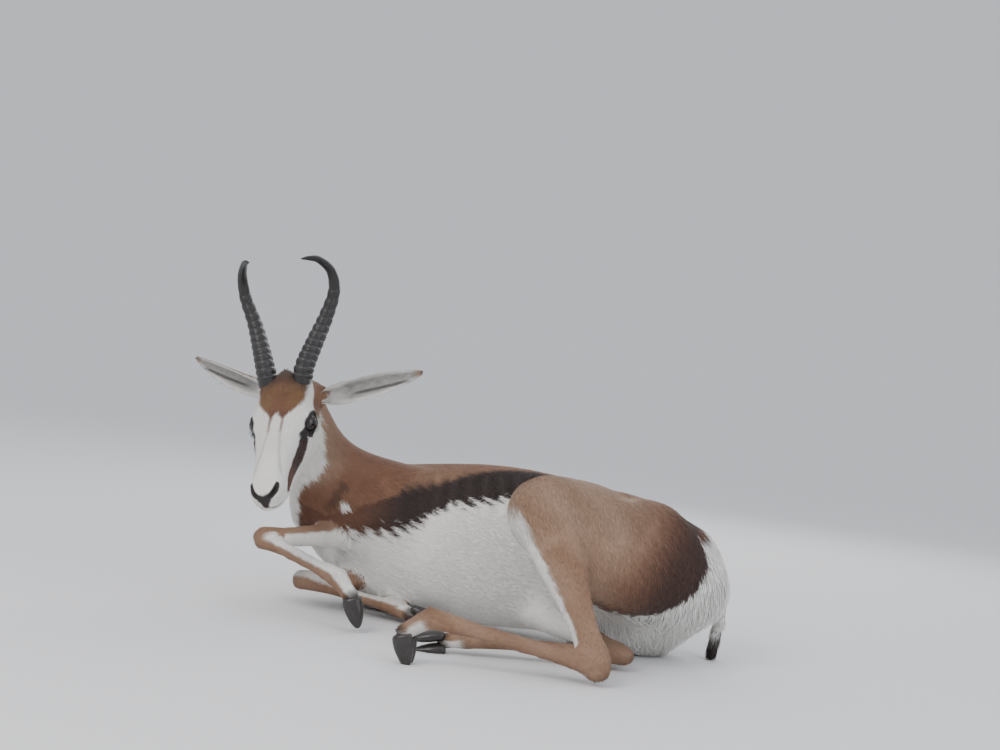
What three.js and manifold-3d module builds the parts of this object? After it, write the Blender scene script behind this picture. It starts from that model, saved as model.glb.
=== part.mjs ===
// A life-size springbok ram at rest: it lies half on its right side with its legs drawn up, the left
// ones on top, and its neck bent round so that it looks out over its left foreleg.
// Millimetres, +Z up. The head end points to -X, the legs and the face to -Y, and the floor is Z = 0.
import * as THREE from "three";
import Module from "manifold-3d";

const wasm = await Module();
wasm.setup();

// Driving dimensions
const GAP = 0.3; // left between any two neighbouring pieces
const HEAD_LENGTH = 245; // horn roots to nose
const EAR_LENGTH = 166;
const EAR_HALF_WIDTH = 18.5;
const EYE_RADIUS = 17;
const LID_THICKNESS = 3.2;
const HORN_RINGS = 13;
const HOOF_LENGTH = 48;
const HOOF_HALF_WIDTH = 9.5;
const TAIL_RADIUS = 13;
const RUMP_LOCKS = 18;
const TUFT_LOCKS = 5;
const LOCK_LENGTH = 78;

const v = (x, y, z) => new THREE.Vector3(x, y, z);
const mix = (a, b, t) => a + (b - a) * t;
const clamp = (x, low, high) => Math.min(high, Math.max(low, x));

// Where the joints lie in the body's frame
const JOINT = {
  poll: v(-343.5, 40, 370.5),
  skullBase: v(-325, 100, 338),
  neckRoot: v(-196, 212, 188),
  leftShoulder: v(-208, 142, 176),
  leftElbow: v(-142, 128, 141),
  leftKnee: v(-356, 92, 108),
  leftForeFetlock: v(-214, -45, 77),
  rightElbow: v(-118, 134, 66),
  rightKnee: v(-292, 138, 40),
  rightForeFetlock: v(-116, 66, 22),
  leftStifle: v(92, -118, 226),
  leftHock: v(188, -262, 28),
  leftHindFetlock: v(-56, -276, 70),
  rightStifle: v(100, 62, 56),
  rightHock: v(234, -122, 24),
  rightHindFetlock: v(0, -150, 24),
  tailRoot: v(372, 106, 152),
};

// Closed surfaces

// Joins rings of equal length, from one pole point to the other, into a closed geometry that faces out.
function skin(rings, startPole, endPole) {
  const sides = rings[0].length;
  const points = [startPole, ...rings.flat(), endPole];
  const index = [];
  const at = (ring, side) => 1 + ring * sides + (side % sides);
  for (let side = 0; side < sides; side += 1) {
    index.push(0, at(0, side + 1), at(0, side));
    for (let ring = 0; ring + 1 < rings.length; ring += 1) {
      index.push(at(ring, side), at(ring, side + 1), at(ring + 1, side));
      index.push(at(ring, side + 1), at(ring + 1, side + 1), at(ring + 1, side));
    }
    index.push(points.length - 1, at(rings.length - 1, side), at(rings.length - 1, side + 1));
  }
  let volume = 0;
  for (let i = 0; i < index.length; i += 3) {
    const [a, b, c] = [points[index[i]], points[index[i + 1]], points[index[i + 2]]];
    volume += a.dot(b.clone().cross(c)) / 6;
  }
  if (volume < 0) {
    index.reverse();
  }
  return new THREE.BufferGeometry().setFromPoints(points).setIndex(index);
}

// A geometry as a manifold-3d solid.
function solid(geometry) {
  return new wasm.Manifold(
    new wasm.Mesh({
      numProp: 3,
      vertProperties: new Float32Array(geometry.getAttribute("position").array),
      triVerts: new Uint32Array(geometry.index.array),
    }),
  );
}

// The largest closed surface of a solid, so that a loose scrap is dropped and a sealed hollow filled.
function largest(made) {
  return made.decompose().reduce((a, b) => (b.volume() > a.volume() ? b : a));
}

// A named mesh from a solid.
function piece(name, made, material) {
  const { numProp, numVert, vertProperties, triVerts } = largest(made).getMesh();
  const positions = new Float32Array(numVert * 3);
  for (let i = 0; i < numVert; i += 1) {
    positions.set(vertProperties.subarray(i * numProp, i * numProp + 3), i * 3);
  }
  const geometry = new THREE.BufferGeometry()
    .setAttribute("position", new THREE.BufferAttribute(positions, 3))
    .setIndex(new THREE.BufferAttribute(triVerts, 1));
  geometry.computeVertexNormals();
  const mesh = new THREE.Mesh(geometry, material);
  mesh.name = name;
  return mesh;
}

// Two directions across an axis: the first as near to the wanted one as can be.
function across(axis, wanted) {
  const first = wanted.clone().addScaledVector(axis, -wanted.dot(axis)).normalize();
  return [first, axis.clone().cross(first)];
}

// A tube through stations {at, wide, deep}: half sizes along `side` and across it, with closed round ends.
function tube(stations, side, sides = 12) {
  const rings = stations.map((station, i) => {
    const before = stations[Math.max(0, i - 1)].at;
    const after = stations[Math.min(stations.length - 1, i + 1)].at;
    const [first, second] = across(after.clone().sub(before).normalize(), side);
    return Array.from({ length: sides }, (_, k) => {
      const angle = (2 * Math.PI * k) / sides;
      return station.at
        .clone()
        .addScaledVector(first, station.wide * Math.cos(angle))
        .addScaledVector(second, station.deep * Math.sin(angle));
    });
  });
  return skin(rings, stations[0].at, stations.at(-1).at);
}

// Soft forms: each is a function of a point, about its distance outside the form, negative inside

// A limb or muscle that runs straight from one round end to another.
function muscle(from, to, fromRadius, toRadius) {
  const run = to.clone().sub(from);
  const length2 = run.lengthSq();
  return (p) => {
    const t = clamp(p.clone().sub(from).dot(run) / length2, 0, 1);
    return p.distanceTo(from.clone().addScaledVector(run, t)) - mix(fromRadius, toRadius, t);
  };
}

// An egg of three half sizes, with its long axis and its second axis given.
function egg(centre, long, second, sizes) {
  const [across1, across2] = across(long.clone().normalize(), second);
  const axes = [long.clone().normalize(), across1, across2];
  return (p) => {
    const off = p.clone().sub(centre);
    const parts = axes.map((axis, i) => off.dot(axis) / sizes[i]);
    const share = Math.hypot(...parts);
    const steep = Math.hypot(...parts.map((part, i) => part / sizes[i]));
    return share < 1e-6 ? -Math.min(...sizes) : (share * (share - 1)) / steep;
  };
}

// Forms melted together over a width.
function melt(width, ...forms) {
  return (p) =>
    forms.slice(1).reduce((a, form) => {
      const b = form(p);
      const h = Math.max(width - Math.abs(a - b), 0) / width;
      return Math.min(a, b) - (h * h * width) / 4;
    }, forms[0](p));
}

// A smooth curve of values through named sizes: rows of [place, value, value, ...], place rising.
function sizesAlong(rows) {
  return (x) => {
    const i = clamp(rows.findIndex((row) => row[0] > x) - 1, 0, rows.length - 2);
    const k = x >= rows.at(-1)[0] ? rows.length - 2 : x <= rows[0][0] ? 0 : i;
    const t = clamp((x - rows[k][0]) / (rows[k + 1][0] - rows[k][0]), 0, 1);
    const slope = (n, j) => {
      const [a, b] = [rows[Math.max(n - 1, 0)], rows[Math.min(n + 1, rows.length - 1)]];
      return (b[j] - a[j]) / (b[0] - a[0]);
    };
    const step = rows[k + 1][0] - rows[k][0];
    return rows[k].slice(1).map((start, n) => {
      const end = rows[k + 1][n + 1];
      const [m0, m1] = [slope(k, n + 1) * step, slope(k + 1, n + 1) * step];
      const [t2, t3] = [t * t, t * t * t];
      return (
        start * (2 * t3 - 3 * t2 + 1) +
        m0 * (t3 - 2 * t2 + t) +
        end * (3 * t2 - 2 * t3) +
        m1 * (t3 - t2)
      );
    });
  };
}

// Wraps a form from the inside: rays leave an axis line and stop where the form ends.
function wrap(form, axis, { rings, sides, caps, up, level = 0, reach = 260 }) {
  const line = new THREE.CatmullRomCurve3(axis);
  const stop = (from, way) => {
    let [inside, outside] = [0, 0];
    const step = 5;
    while (outside < reach) {
      outside += step;
      if (form(from.clone().addScaledVector(way, outside)) > level) {
        break;
      }
      inside = outside;
    }
    for (let i = 0; i < 12; i += 1) {
      const middle = (inside + outside) / 2;
      if (form(from.clone().addScaledVector(way, middle)) > level) {
        outside = middle;
      } else {
        inside = middle;
      }
    }
    return from.clone().addScaledVector(way, (inside + outside) / 2);
  };
  const ring = (t, tilt) => {
    const from = line.getPointAt(t);
    const along = line.getTangentAt(t);
    const [first, second] = across(along, up);
    return Array.from({ length: sides }, (_, k) => {
      const angle = (2 * Math.PI * k) / sides;
      const way = first
        .clone()
        .multiplyScalar(Math.cos(angle) * Math.cos(tilt))
        .addScaledVector(second, Math.sin(angle) * Math.cos(tilt))
        .addScaledVector(along, Math.sin(tilt));
      return stop(from, way);
    });
  };
  const made = [];
  for (let i = caps; i > 0; i -= 1) {
    made.push(ring(0, (-i / (caps + 1)) * (Math.PI / 2)));
  }
  for (let i = 0; i <= rings; i += 1) {
    made.push(ring(i / rings, 0));
  }
  for (let i = 1; i <= caps; i += 1) {
    made.push(ring(1, (i / (caps + 1)) * (Math.PI / 2)));
  }
  const startWay = line.getTangentAt(0).negate();
  const start = stop(line.getPointAt(0), startWay);
  const end = stop(line.getPointAt(1), line.getTangentAt(1));
  return skin(made, start, end);
}

// The trunk: [X, centre Y, centre Z, half depth back to belly, half width, roll off upright in degrees]
const trunkAt = sizesAlong([
  [-262, 250, 128, 70, 58, 40],
  [-225, 242, 126, 104, 80, 42],
  [-150, 222, 126, 142, 100, 44],
  [-75, 195, 131, 156, 108, 46],
  [10, 165, 147, 150, 108, 49],
  [90, 139, 160, 134, 101, 52],
  [170, 113, 160, 120, 97, 55],
  [250, 88, 147, 115, 95, 58],
  [310, 72, 132, 106, 88, 60],
  [365, 60, 120, 84, 70, 60],
]);
const TRUNK_FRONT = -232;
const TRUNK_REAR = 350;

// The directions to the back and to the left side where the trunk is rolled by so many degrees.
function rolled(degrees) {
  const roll = (degrees * Math.PI) / 180;
  return [v(0, Math.sin(roll), Math.cos(roll)), v(0, -Math.cos(roll), Math.sin(roll))];
}

function trunkForm(p) {
  const x = clamp(p.x, TRUNK_FRONT - 30, TRUNK_REAR + 13);
  const [y, z, deep, wide, roll] = trunkAt(x);
  const [back, left] = rolled(roll);
  const off = v(p.x - x, p.y - y, p.z - z);
  const [b, l] = [off.dot(back), off.dot(left)];
  // The belly side is a little fuller than the back, which rises to the spine.
  const wideHere = wide * (1 - 0.12 * clamp(b / deep, -1, 1));
  const parts = [b / deep, l / wideHere, (p.x - x) / 40];
  const share = Math.hypot(...parts);
  const steep = Math.hypot(parts[0] / deep, parts[1] / wideHere, parts[2] / 40);
  return share < 1e-6 ? -wide : (share * (share - 1)) / steep;
}

const neckForm = melt(
  30,
  muscle(JOINT.skullBase, v(-278, 170, 250), 35, 34),
  muscle(v(-278, 170, 250), JOINT.neckRoot, 34, 68),
  muscle(v(-306, 124, 268), v(-278, 180, 160), 34, 60),
);

const haunchForm = melt(
  36,
  muscle(v(262, 24, 166), v(150, -72, 200), 92, 62),
  muscle(v(170, -64, 192), v(94, -108, 222), 62, 50),
  muscle(v(98, -100, 226), v(166, 20, 222), 50, 50),
  muscle(v(92, -110, 216), v(112, -150, 176), 44, 33),
  muscle(v(336, 40, 122), v(236, -70, 130), 74, 54),
  muscle(v(240, -64, 136), v(160, -132, 140), 56, 42),
);

// The belly sinks to the floor in front of the right thigh, which is under it
const rightHaunchForm = melt(
  30,
  egg(v(66, 90, 90), v(1, -0.28, 0.02), v(0, -0.6, 0.8), [150, 76, 86]),
  muscle(v(276, 64, 76), v(160, 30, 64), 79, 56),
  muscle(v(250, 42, 168), v(330, 58, 148), 84, 72),
);

const shoulderForm = melt(
  26,
  egg(v(-176, 158, 180), v(0.75, 0.2, 0.62), v(0, -0.7, 0.6), [92, 42, 62]),
  muscle(JOINT.leftShoulder, JOINT.leftElbow, 46, 40),
  muscle(JOINT.leftElbow, v(-214, 118, 134), 38, 29),
);

const rightShoulderForm = muscle(v(-186, 186, 66), JOINT.rightElbow, 58, 46);

// The head, in a frame of its own: X from poll to nose, Y to its left, Z out of the forehead
const FACE_FORWARD = v(0.022, -0.765, -0.65).normalize();
const [FACE_LEFT] = across(FACE_FORWARD, v(0.975, -0.135, 0.185));
const FACE_UP = FACE_FORWARD.clone().cross(FACE_LEFT);
const headFrame = new THREE.Matrix4()
  .makeBasis(FACE_FORWARD, FACE_LEFT, FACE_UP)
  .setPosition(JOINT.poll);
const intoHead = headFrame.clone().invert();

// [X, half width, top, bottom, height of the widest line]
const headAt = sizesAlong([
  [-22, 37, -12, -74, -42],
  [-6, 42, 1, -84, -41],
  [14, 44, 9, -94, -40],
  [36, 46, 12, -101, -37],
  [64, 47, 10, -104, -35],
  [94, 44, 6, -102, -37],
  [124, 38, 2, -95, -40],
  [164, 32, -1, -84, -41],
  [200, 28, -3, -74, -38],
  [222, 25, -6, -66, -34],
  [235, 22, -9, -59, -30],
]);

function skullForm(p) {
  const x = clamp(p.x, -22, HEAD_LENGTH - 10);
  const [wide, top, bottom, middle] = headAt(x);
  const rise = p.z > middle ? top - middle : middle - bottom;
  const end = p.x < x ? 24 : 11;
  const parts = [(p.x - x) / end, p.y / wide, (p.z - middle) / rise].map(Math.abs);
  const power = 2.3;
  const share = parts.reduce((sum, part) => sum + part ** power, 0) ** (1 / power);
  const steep = Math.hypot(parts[0] / end, parts[1] / wide, parts[2] / rise);
  return share < 1e-6 ? -wide : ((share - 1) * Math.hypot(...parts)) / steep;
}

const EYE = v(72, 38, -26);
const HORN_ROOT = v(4, 28.5, 8);
const LEFT_EAR_ROOT = v(-16, 49, -49);
const RIGHT_EAR_ROOT = v(-31, -31, -42);
const mirrored = (p, side) => v(p.x, side * p.y, p.z);
const faceForm = [1, -1].reduce(
  (form, side) =>
    melt(
      9,
      form,
      muscle(v(58, side * 34, -20), v(92, side * 32, -23), 20, 16), // rim of the orbit
      muscle(v(96, side * 36, -46), v(132, side * 29, -52), 13, 9), // cheek bone
      muscle(v(46, side * 30, -66), v(96, side * 27, -76), 22, 14), // jaw muscle
      muscle(v(222, side * 14, -19), v(236, side * 11, -24), 11, 8), // nostril wing
      muscle(v(-20, side * 30, -42), v(-24, side * 48, -42), 22, 14), // root of the ear
      muscle(v(34, side * 23, -13), v(12, side * 27, -1), 20, 19), // root of the horn
    ),
  melt(8, skullForm, muscle(v(14, 0, 4), v(-6, 0, 6), 17, 15)), // with the hair between the horns
);

const bodyForm = melt(
  40,
  melt(34, trunkForm, neckForm),
  rightHaunchForm,
  shoulderForm,
  rightShoulderForm,
);

// Materials
const finish = (name, color, roughness) =>
  new THREE.MeshStandardMaterial({ name, color, roughness, metalness: 0 });
const COAT = {
  fawn: finish("fawn coat", "#a9805c", 0.9),
  white: finish("white coat", "#e3e0da", 0.9),
  horn: finish("horn", "#2b2724", 0.5),
  hoof: finish("hoof", "#1d1a18", 0.45),
  eye: finish("eye", "#120c09", 0.08),
};

const model = new THREE.Group();
const bodyParts = new THREE.Group();
const headParts = new THREE.Group();
headParts.applyMatrix4(headFrame);
bodyParts.add(headParts);
model.add(bodyParts);

// Trunk, neck and head: one soft form that is cut into pieces
const trunkAxis = [TRUNK_FRONT, -90, 80, 230, TRUNK_REAR].map((x) => {
  const [y, z] = trunkAt(x);
  return v(x, y, z);
});
const trunkOptions = { rings: 30, sides: 26, caps: 3, up: v(0, 0.7, 0.7) };
const bodySolid = solid(wrap(bodyForm, trunkAxis, trunkOptions));
const bodyCutter = solid(wrap(bodyForm, trunkAxis, { ...trunkOptions, level: GAP }));

const headAxis = [v(-20, 0, -42), v(60, 0, -42), v(150, 0, -40), v(232, 0, -32)];
const headOptions = { rings: 34, sides: 26, caps: 3, up: v(0, 0, 1) };
const headSolid = solid(wrap(faceForm, headAxis, headOptions));
const headCutter = solid(wrap(faceForm, headAxis, { ...headOptions, level: GAP }));

const neckAxis = [v(-230, 204, 178), v(-276, 170, 240), v(-308, 126, 304), v(-323, 100, 336)];
const neckOptions = { rings: 12, sides: 22, caps: 2, up: v(0.3, 0.9, 0.3) };
const [neckSolid, neckCutter] = [0, GAP].map((level) =>
  solid(wrap(melt(20, bodyForm, neckForm), neckAxis, { ...neckOptions, level })),
);

const onFloor = (made) => made.trimByPlane([0, 0, 1], 0);

// A wide sleeve that takes in the whole neck above its root
const sleeve = (gap) =>
  solid(
    tube(
      [
        { at: v(-218, 206, 208).addScaledVector(v(-0.42, -0.4, 0.81), gap), wide: 111, deep: 111 },
        { at: v(-336, 86, 440), wide: 150, deep: 150 },
      ],
      v(1, 0, 0),
      16,
    ),
  );

const headCutterInBody = headCutter.transform(headFrame.elements);

// The left thigh lies over the flank and the rump, from the hip to the stifle
const haunchAxis = [v(322, 26, 134), v(250, -14, 162), v(172, -62, 192), v(98, -106, 220)];
const haunchOptions = { rings: 16, sides: 20, caps: 4, up: v(0, -0.7, 0.7) };
const haunchSolid = solid(wrap(haunchForm, haunchAxis, haunchOptions));
const haunchCutter = solid(wrap(haunchForm, haunchAxis, { ...haunchOptions, level: GAP }));

// The white rump is what lies behind and below a slanting cut
const RUMP_WAY = v(0.75, -0.1, -0.65).normalize();
const RUMP_START = 152;
const forward = bodySolid.trimByPlane(RUMP_WAY.clone().negate().toArray(), -RUMP_START);
bodyParts.add(piece("torso", onFloor(forward.subtract(sleeve(0))), COAT.fawn));
bodyParts.add(piece("neck", neckSolid.intersect(sleeve(GAP)).subtract(headCutterInBody), COAT.fawn));
bodyParts.add(piece("hindleg_left_thigh", haunchSolid.subtract(bodyCutter), COAT.fawn));

// Eyes and their lids
const EYE_OUT = v(0.42, 0.87, 0.24).normalize();

// The almond opening between the lids, as a prism that runs out from the eye
function lidOpening(centre, side) {
  const out = mirrored(EYE_OUT, side);
  const [long, tall] = across(out, v(1, 0, -0.08));
  const ring = (distance) =>
    Array.from({ length: 14 }, (_, k) => {
      const angle = (2 * Math.PI * k) / 14;
      const height = Math.sin(angle) > 0 ? 11.5 : 9.5;
      return centre
        .clone()
        .addScaledVector(long, 16 * Math.cos(angle))
        .addScaledVector(tall, height * Math.sin(angle) * Math.abs(Math.sin(angle)) ** 0.35)
        .addScaledVector(out, distance);
    });
  const [from, to] = [4, 40];
  const pole = (distance) => centre.clone().addScaledVector(out, distance);
  return solid(skin([ring(from), ring(to)], pole(from), pole(to)));
}

function ballAt(centre, radius, detail = 16) {
  const rings = [];
  for (let i = 1; i < detail / 2; i += 1) {
    const tilt = (Math.PI * 2 * i) / detail;
    rings.push(
      Array.from({ length: detail }, (_, k) => {
        const angle = (2 * Math.PI * k) / detail;
        const way = v(Math.cos(angle), 0, Math.sin(angle)).multiplyScalar(Math.sin(tilt));
        return centre.clone().addScaledVector(way, radius).add(v(0, radius * Math.cos(tilt), 0));
      }),
    );
  }
  return skin(rings, centre.clone().add(v(0, radius, 0)), centre.clone().add(v(0, -radius, 0)));
}

let head = headSolid;
for (const side of [1, -1]) {
  const centre = mirrored(EYE, side);
  const lids = solid(ballAt(centre, EYE_RADIUS + LID_THICKNESS, 18));
  head = head.add(lids).subtract(solid(ballAt(centre, EYE_RADIUS + GAP, 14)));
  head = head.subtract(lidOpening(centre, side));
}

// The line of the mouth: a thin band as wide as the muzzle, kept out of the head's core
const mouthLine = [[262, -43], [240, -46], [217, -53], [202, -56], [187, -55]];
const mouthBand = mouthLine.map(([x, z]) =>
  [[1, 1], [-1, 1], [-1, -1], [1, -1]].map(([side, rise]) => v(x, 45 * side, z + 1.1 * rise)),
);
const mouthEnd = ([x, z]) => v(x, 0, z);
const mouthSolid = solid(skin(mouthBand, mouthEnd(mouthLine[0]), mouthEnd(mouthLine.at(-1))));
const coreOptions = { ...headOptions, rings: 12, sides: 10, level: -4 };
const headCore = solid(wrap(faceForm, headAxis, coreOptions));
head = head.subtract(mouthSolid.subtract(headCore));

// Nostrils: slanting pits on either side of the nose
for (const side of [1, -1]) {
  const stations = [
    { at: v(248, side * 9, -21), wide: 2, deep: 2.5 },
    { at: v(241, side * 13.5, -18), wide: 3, deep: 4.5 },
    { at: v(233, side * 18.5, -14), wide: 2.6, deep: 4 },
    { at: v(225, side * 22.5, -9), wide: 1.2, deep: 2 },
  ];
  head = head.subtract(solid(tube(stations, v(0, 0.6 * side, 0.8), 10)));
}
headParts.add(piece("head", head, COAT.fawn));

for (const [name, side] of [["eye_left", 1], ["eye_right", -1]]) {
  headParts.add(piece(name, solid(ballAt(mirrored(EYE, side), EYE_RADIUS, 14)), COAT.eye));
}

// Horns
const hornLine = (side) =>
  new THREE.CatmullRomCurve3(
    [
      [0, 0, 0],
      [5, 1, 23],
      [17, -10, 62],
      [32, -22, 107],
      [47, -18, 150],
      [47, 2, 179],
      [35, 32, 190],
      [24, 54, 187],
      [15, 69, 182],
    ].map(([out, forward, rise]) => v(forward, side * out, rise)),
  );
const HORN_LEAN = v(-0.8, 0.02, 0.6).normalize();
// [share of the length, radius]
const hornRadius = sizesAlong([
  [0, 17.5],
  [0.1, 16.4],
  [0.25, 15],
  [0.4, 13.2],
  [0.55, 11.2],
  [0.7, 8.8],
  [0.85, 5.8],
  [0.95, 3.2],
  [1, 1.2],
]);
const RINGED = 0.68; // share of the horn with rings

function horn(side) {
  const line = hornLine(side);
  const [forward, left] = across(HORN_LEAN, v(0.6, 0, 0.8));
  const place = new THREE.Matrix4().makeBasis(forward, left, HORN_LEAN);
  place.setPosition(mirrored(HORN_ROOT, side));
  const shares = [];
  for (let ring = 0; ring < HORN_RINGS; ring += 1) {
    for (const part of [0, 0.45]) {
      const place = (ring + part) / HORN_RINGS; // rings stand closest at the root
      shares.push([(RINGED * place * (2 + place)) / 3, part > 0]);
    }
  }
  for (let i = 0; i <= 7; i += 1) {
    shares.push([mix(RINGED, 1, i / 7), false]);
  }
  const stations = shares.map(([share, crest]) => {
    const radius = hornRadius(share)[0] + (crest ? 1.7 * (1 - share) + 0.3 : -0.4);
    return { at: line.getPointAt(share), wide: radius * 0.93, deep: radius * 1.07 };
  });
  stations.unshift({ at: v(-3.2, 0, -8.4), wide: 15.6, deep: 17.8 });
  stations.unshift({ at: v(-8.8, 0, -15.5), wide: 12.5, deep: 14 });
  stations.unshift({ at: v(-20, 0, -27), wide: 8, deep: 9 });
  return solid(tube(stations, v(0, side, 0), 9).applyMatrix4(place));
}

for (const [name, side] of [["horn_left", 1], ["horn_right", -1]]) {
  headParts.add(piece(name, horn(side).subtract(headCutter), COAT.horn));
}

// Ears: a leaf that is rolled into a cup
function ear(root, way, opening) {
  const along = way.clone().normalize();
  const [face, sideways] = across(along, opening);
  const lengths = 10;
  const half = 5;
  const rings = [];
  for (let i = 0; i <= lengths; i += 1) {
    const s = i / lengths;
    const swell = Math.sin(Math.PI * Math.min(1, 0.2 + 0.8 * s)) ** 0.8;
    const wide = EAR_HALF_WIDTH * swell * (1 - 0.2 * s) + 2.5;
    const curl = mix(1.9, 0.7, s ** 0.6);
    const radius = wide / Math.max(curl * 0.8, 0.6);
    const thick = mix(6, 3, s);
    const centre = root.clone().addScaledVector(along, s * EAR_LENGTH);
    centre.addScaledVector(face, 7 * Math.sin(Math.PI * s));
    const ring = [];
    for (const shell of [1, -1]) {
      for (let k = -half; k <= half; k += 1) {
        const angle = ((shell * k) / half) * curl;
        const edge = 1 - 0.8 * (k / half) ** 4;
        const reach = radius + (shell * thick * edge) / 2;
        ring.push(
          centre
            .clone()
            .addScaledVector(sideways, reach * Math.sin(angle))
            .addScaledVector(face, radius - reach * Math.cos(angle)),
        );
      }
    }
    rings.push(ring);
  }
  const middle = (ring) => ring[half].clone().add(ring[3 * half + 1]).multiplyScalar(0.5);
  return solid(skin(rings, middle(rings[0]), middle(rings.at(-1))));
}

const ears = {
  ear_left: ear(LEFT_EAR_ROOT, v(-0.2, 0.98, 0.06), v(0.83, 0.15, 0.54)),
  ear_right: ear(RIGHT_EAR_ROOT, v(-0.44, -0.89, 0.14), v(0.96, -0.2, 0.22)),
};
const neckCutterInHead = neckCutter.transform(intoHead.elements);
for (const [name, made] of Object.entries(ears)) {
  headParts.add(piece(name, made.subtract(headCutter).subtract(neckCutterInHead), COAT.fawn));
}

// Legs: [share of the way, half width, half depth]
const FOREARM = [
  [-0.06, 24, 28],
  [0.15, 27, 32],
  [0.35, 23, 27],
  [0.6, 16.5, 20],
  [0.82, 14.5, 17],
  [0.93, 17, 19.5],
  [1.0, 18, 21],
  [1.05, 15, 18],
  [1.08, 8, 10],
];
const SHANK = [
  [0.0, 20, 28],
  [0.06, 28, 38],
  [0.18, 30, 44],
  [0.35, 26, 39],
  [0.6, 17, 27],
  [0.8, 14, 22.5],
  [0.93, 16, 25],
  [1.02, 16, 24],
  [1.07, 12, 17],
  [1.09, 6, 9],
];
const CANNON = [
  [0.0, 13, 15],
  [0.05, 16, 18],
  [0.14, 13.5, 16],
  [0.3, 11, 13.5],
  [0.72, 10.5, 13],
  [0.9, 13, 16],
  [1.0, 15.5, 18.5],
];
// The same from fetlock to hoof
const PASTERN = [
  [0.3, 13.5, 16],
  [0.65, 12, 13.5],
  [0.95, 14.5, 15.5],
];

function stationsOf(from, to, rows) {
  return rows.map(([share, wide, deep]) => ({ at: from.clone().lerp(to, share), wide, deep }));
}

// Two claws that run on from the pastern, side by side
function claws(coronet, toe, side) {
  const way = toe.clone().sub(coronet).normalize();
  const [apart] = across(way, side);
  return [1, -1].map((hand) => {
    const from = coronet.clone().addScaledVector(apart, hand * (HOOF_HALF_WIDTH + 0.6));
    const stations = [
      [0, 8.5, 15],
      [0.3, 9.3, 16],
      [0.6, 8.2, 13],
      [0.85, 5.6, 8.4],
      [1, 2.4, 3.4],
    ].map(([share, wide, deep]) => ({
      at: from
        .clone()
        .addScaledVector(way, share * HOOF_LENGTH)
        .addScaledVector(apart, -hand * 1.5 * share ** 2),
      wide,
      deep,
    }));
    return solid(tube(stations, apart, 10));
  });
}

// [name, top, middle, fetlock, coronet, toe, upper rows, direction to the outer side]
const legs = [
  [
    ["foreleg_left", "forearm", FOREARM, v(0, -1, 0.25)],
    [JOINT.leftElbow, JOINT.leftKnee, JOINT.leftForeFetlock, v(-188, -66, 52), v(-170, -72, 4)],
  ],
  [
    ["foreleg_right", "forearm", FOREARM, v(0, 0.3, 1)],
    [JOINT.rightElbow, JOINT.rightKnee, JOINT.rightForeFetlock, v(-98, 44, 18), v(-52, 32, 10)],
  ],
  [
    ["hindleg_left", "shank", SHANK, v(-0.3, -0.75, 0.55)],
    [JOINT.leftStifle, JOINT.leftHock, JOINT.leftHindFetlock, v(-92, -272, 44), v(-80, -268, 0)],
  ],
  [
    ["hindleg_right", "shank", SHANK, v(0, 0, 1)],
    [JOINT.rightStifle, JOINT.rightHock, JOINT.rightHindFetlock, v(-34, -154, 18), v(-80, -160, 8)],
  ],
];
for (const [[name, upperName, rows, side], [top, middle, fetlock, coronet, toe]] of legs) {
  const upper = solid(tube(stationsOf(top, middle, rows), side));
  const upperCutter = solid(
    tube(
      stationsOf(top, middle, rows.map(([share, wide, deep]) => [share, wide + GAP, deep + GAP])),
      side,
    ),
  );
  const lowerRows = [...stationsOf(middle, fetlock, CANNON), ...stationsOf(fetlock, coronet, PASTERN)];
  const lower = solid(tube(lowerRows, side));
  const lowerCutter = solid(
    tube(
      lowerRows.map(({ at, wide, deep }) => ({ at, wide: wide + GAP, deep: deep + GAP })),
      side,
    ),
  );
  const upperPart = upper.subtract(bodyCutter).subtract(haunchCutter);
  const lowerPart = lower.subtract(upperCutter).subtract(bodyCutter);
  bodyParts.add(piece(`${name}_${upperName}`, onFloor(upperPart), COAT.fawn));
  bodyParts.add(piece(`${name}_cannon`, onFloor(lowerPart), COAT.fawn));
  const [outer, inner] = claws(coronet, toe, side);
  bodyParts.add(piece(`${name}_claw_outer`, onFloor(outer.subtract(lowerCutter)), COAT.hoof));
  bodyParts.add(piece(`${name}_claw_inner`, onFloor(inner.subtract(lowerCutter)), COAT.hoof));
}

// A flat lock of long hair: it leaves the root along the lie, bends down and ends in a point
function lock(root, normal, lie, length, width) {
  const [outward, sideways] = across(lie.clone().normalize(), normal);
  const stations = [
    [-0.22, 0.5, -8],
    [0.08, 0.9, 0.5],
    [0.45, 0.85, 6],
    [0.8, 0.42, 6],
  ].map(([share, wide, lift]) => ({
    at: root
      .clone()
      .addScaledVector(lie, share * length)
      .addScaledVector(outward, lift),
    wide: (width / 2) * wide,
    deep: 2.6 * wide + 0.4,
  }));
  const geometry = tube(stations, sideways, 4);
  const tip = root.clone().addScaledVector(lie, length).addScaledVector(outward, 1);
  geometry.getAttribute("position").setXYZ(1 + 4 * stations.length, tip.x, tip.y, tip.z);
  return solid(geometry);
}

// The same seed gives the same coat each time
function seeded(seed) {
  let state = seed;
  return () => {
    state = (state * 16807) % 2147483647;
    return state / 2147483647;
  };
}

// How a form's surface faces at a point
function facing(form, p) {
  const slope = (d) => form(p.clone().add(d)) - form(p.clone().sub(d));
  return v(slope(v(1, 0, 0)), slope(v(0, 1, 0)), slope(v(0, 0, 1))).normalize();
}

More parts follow.
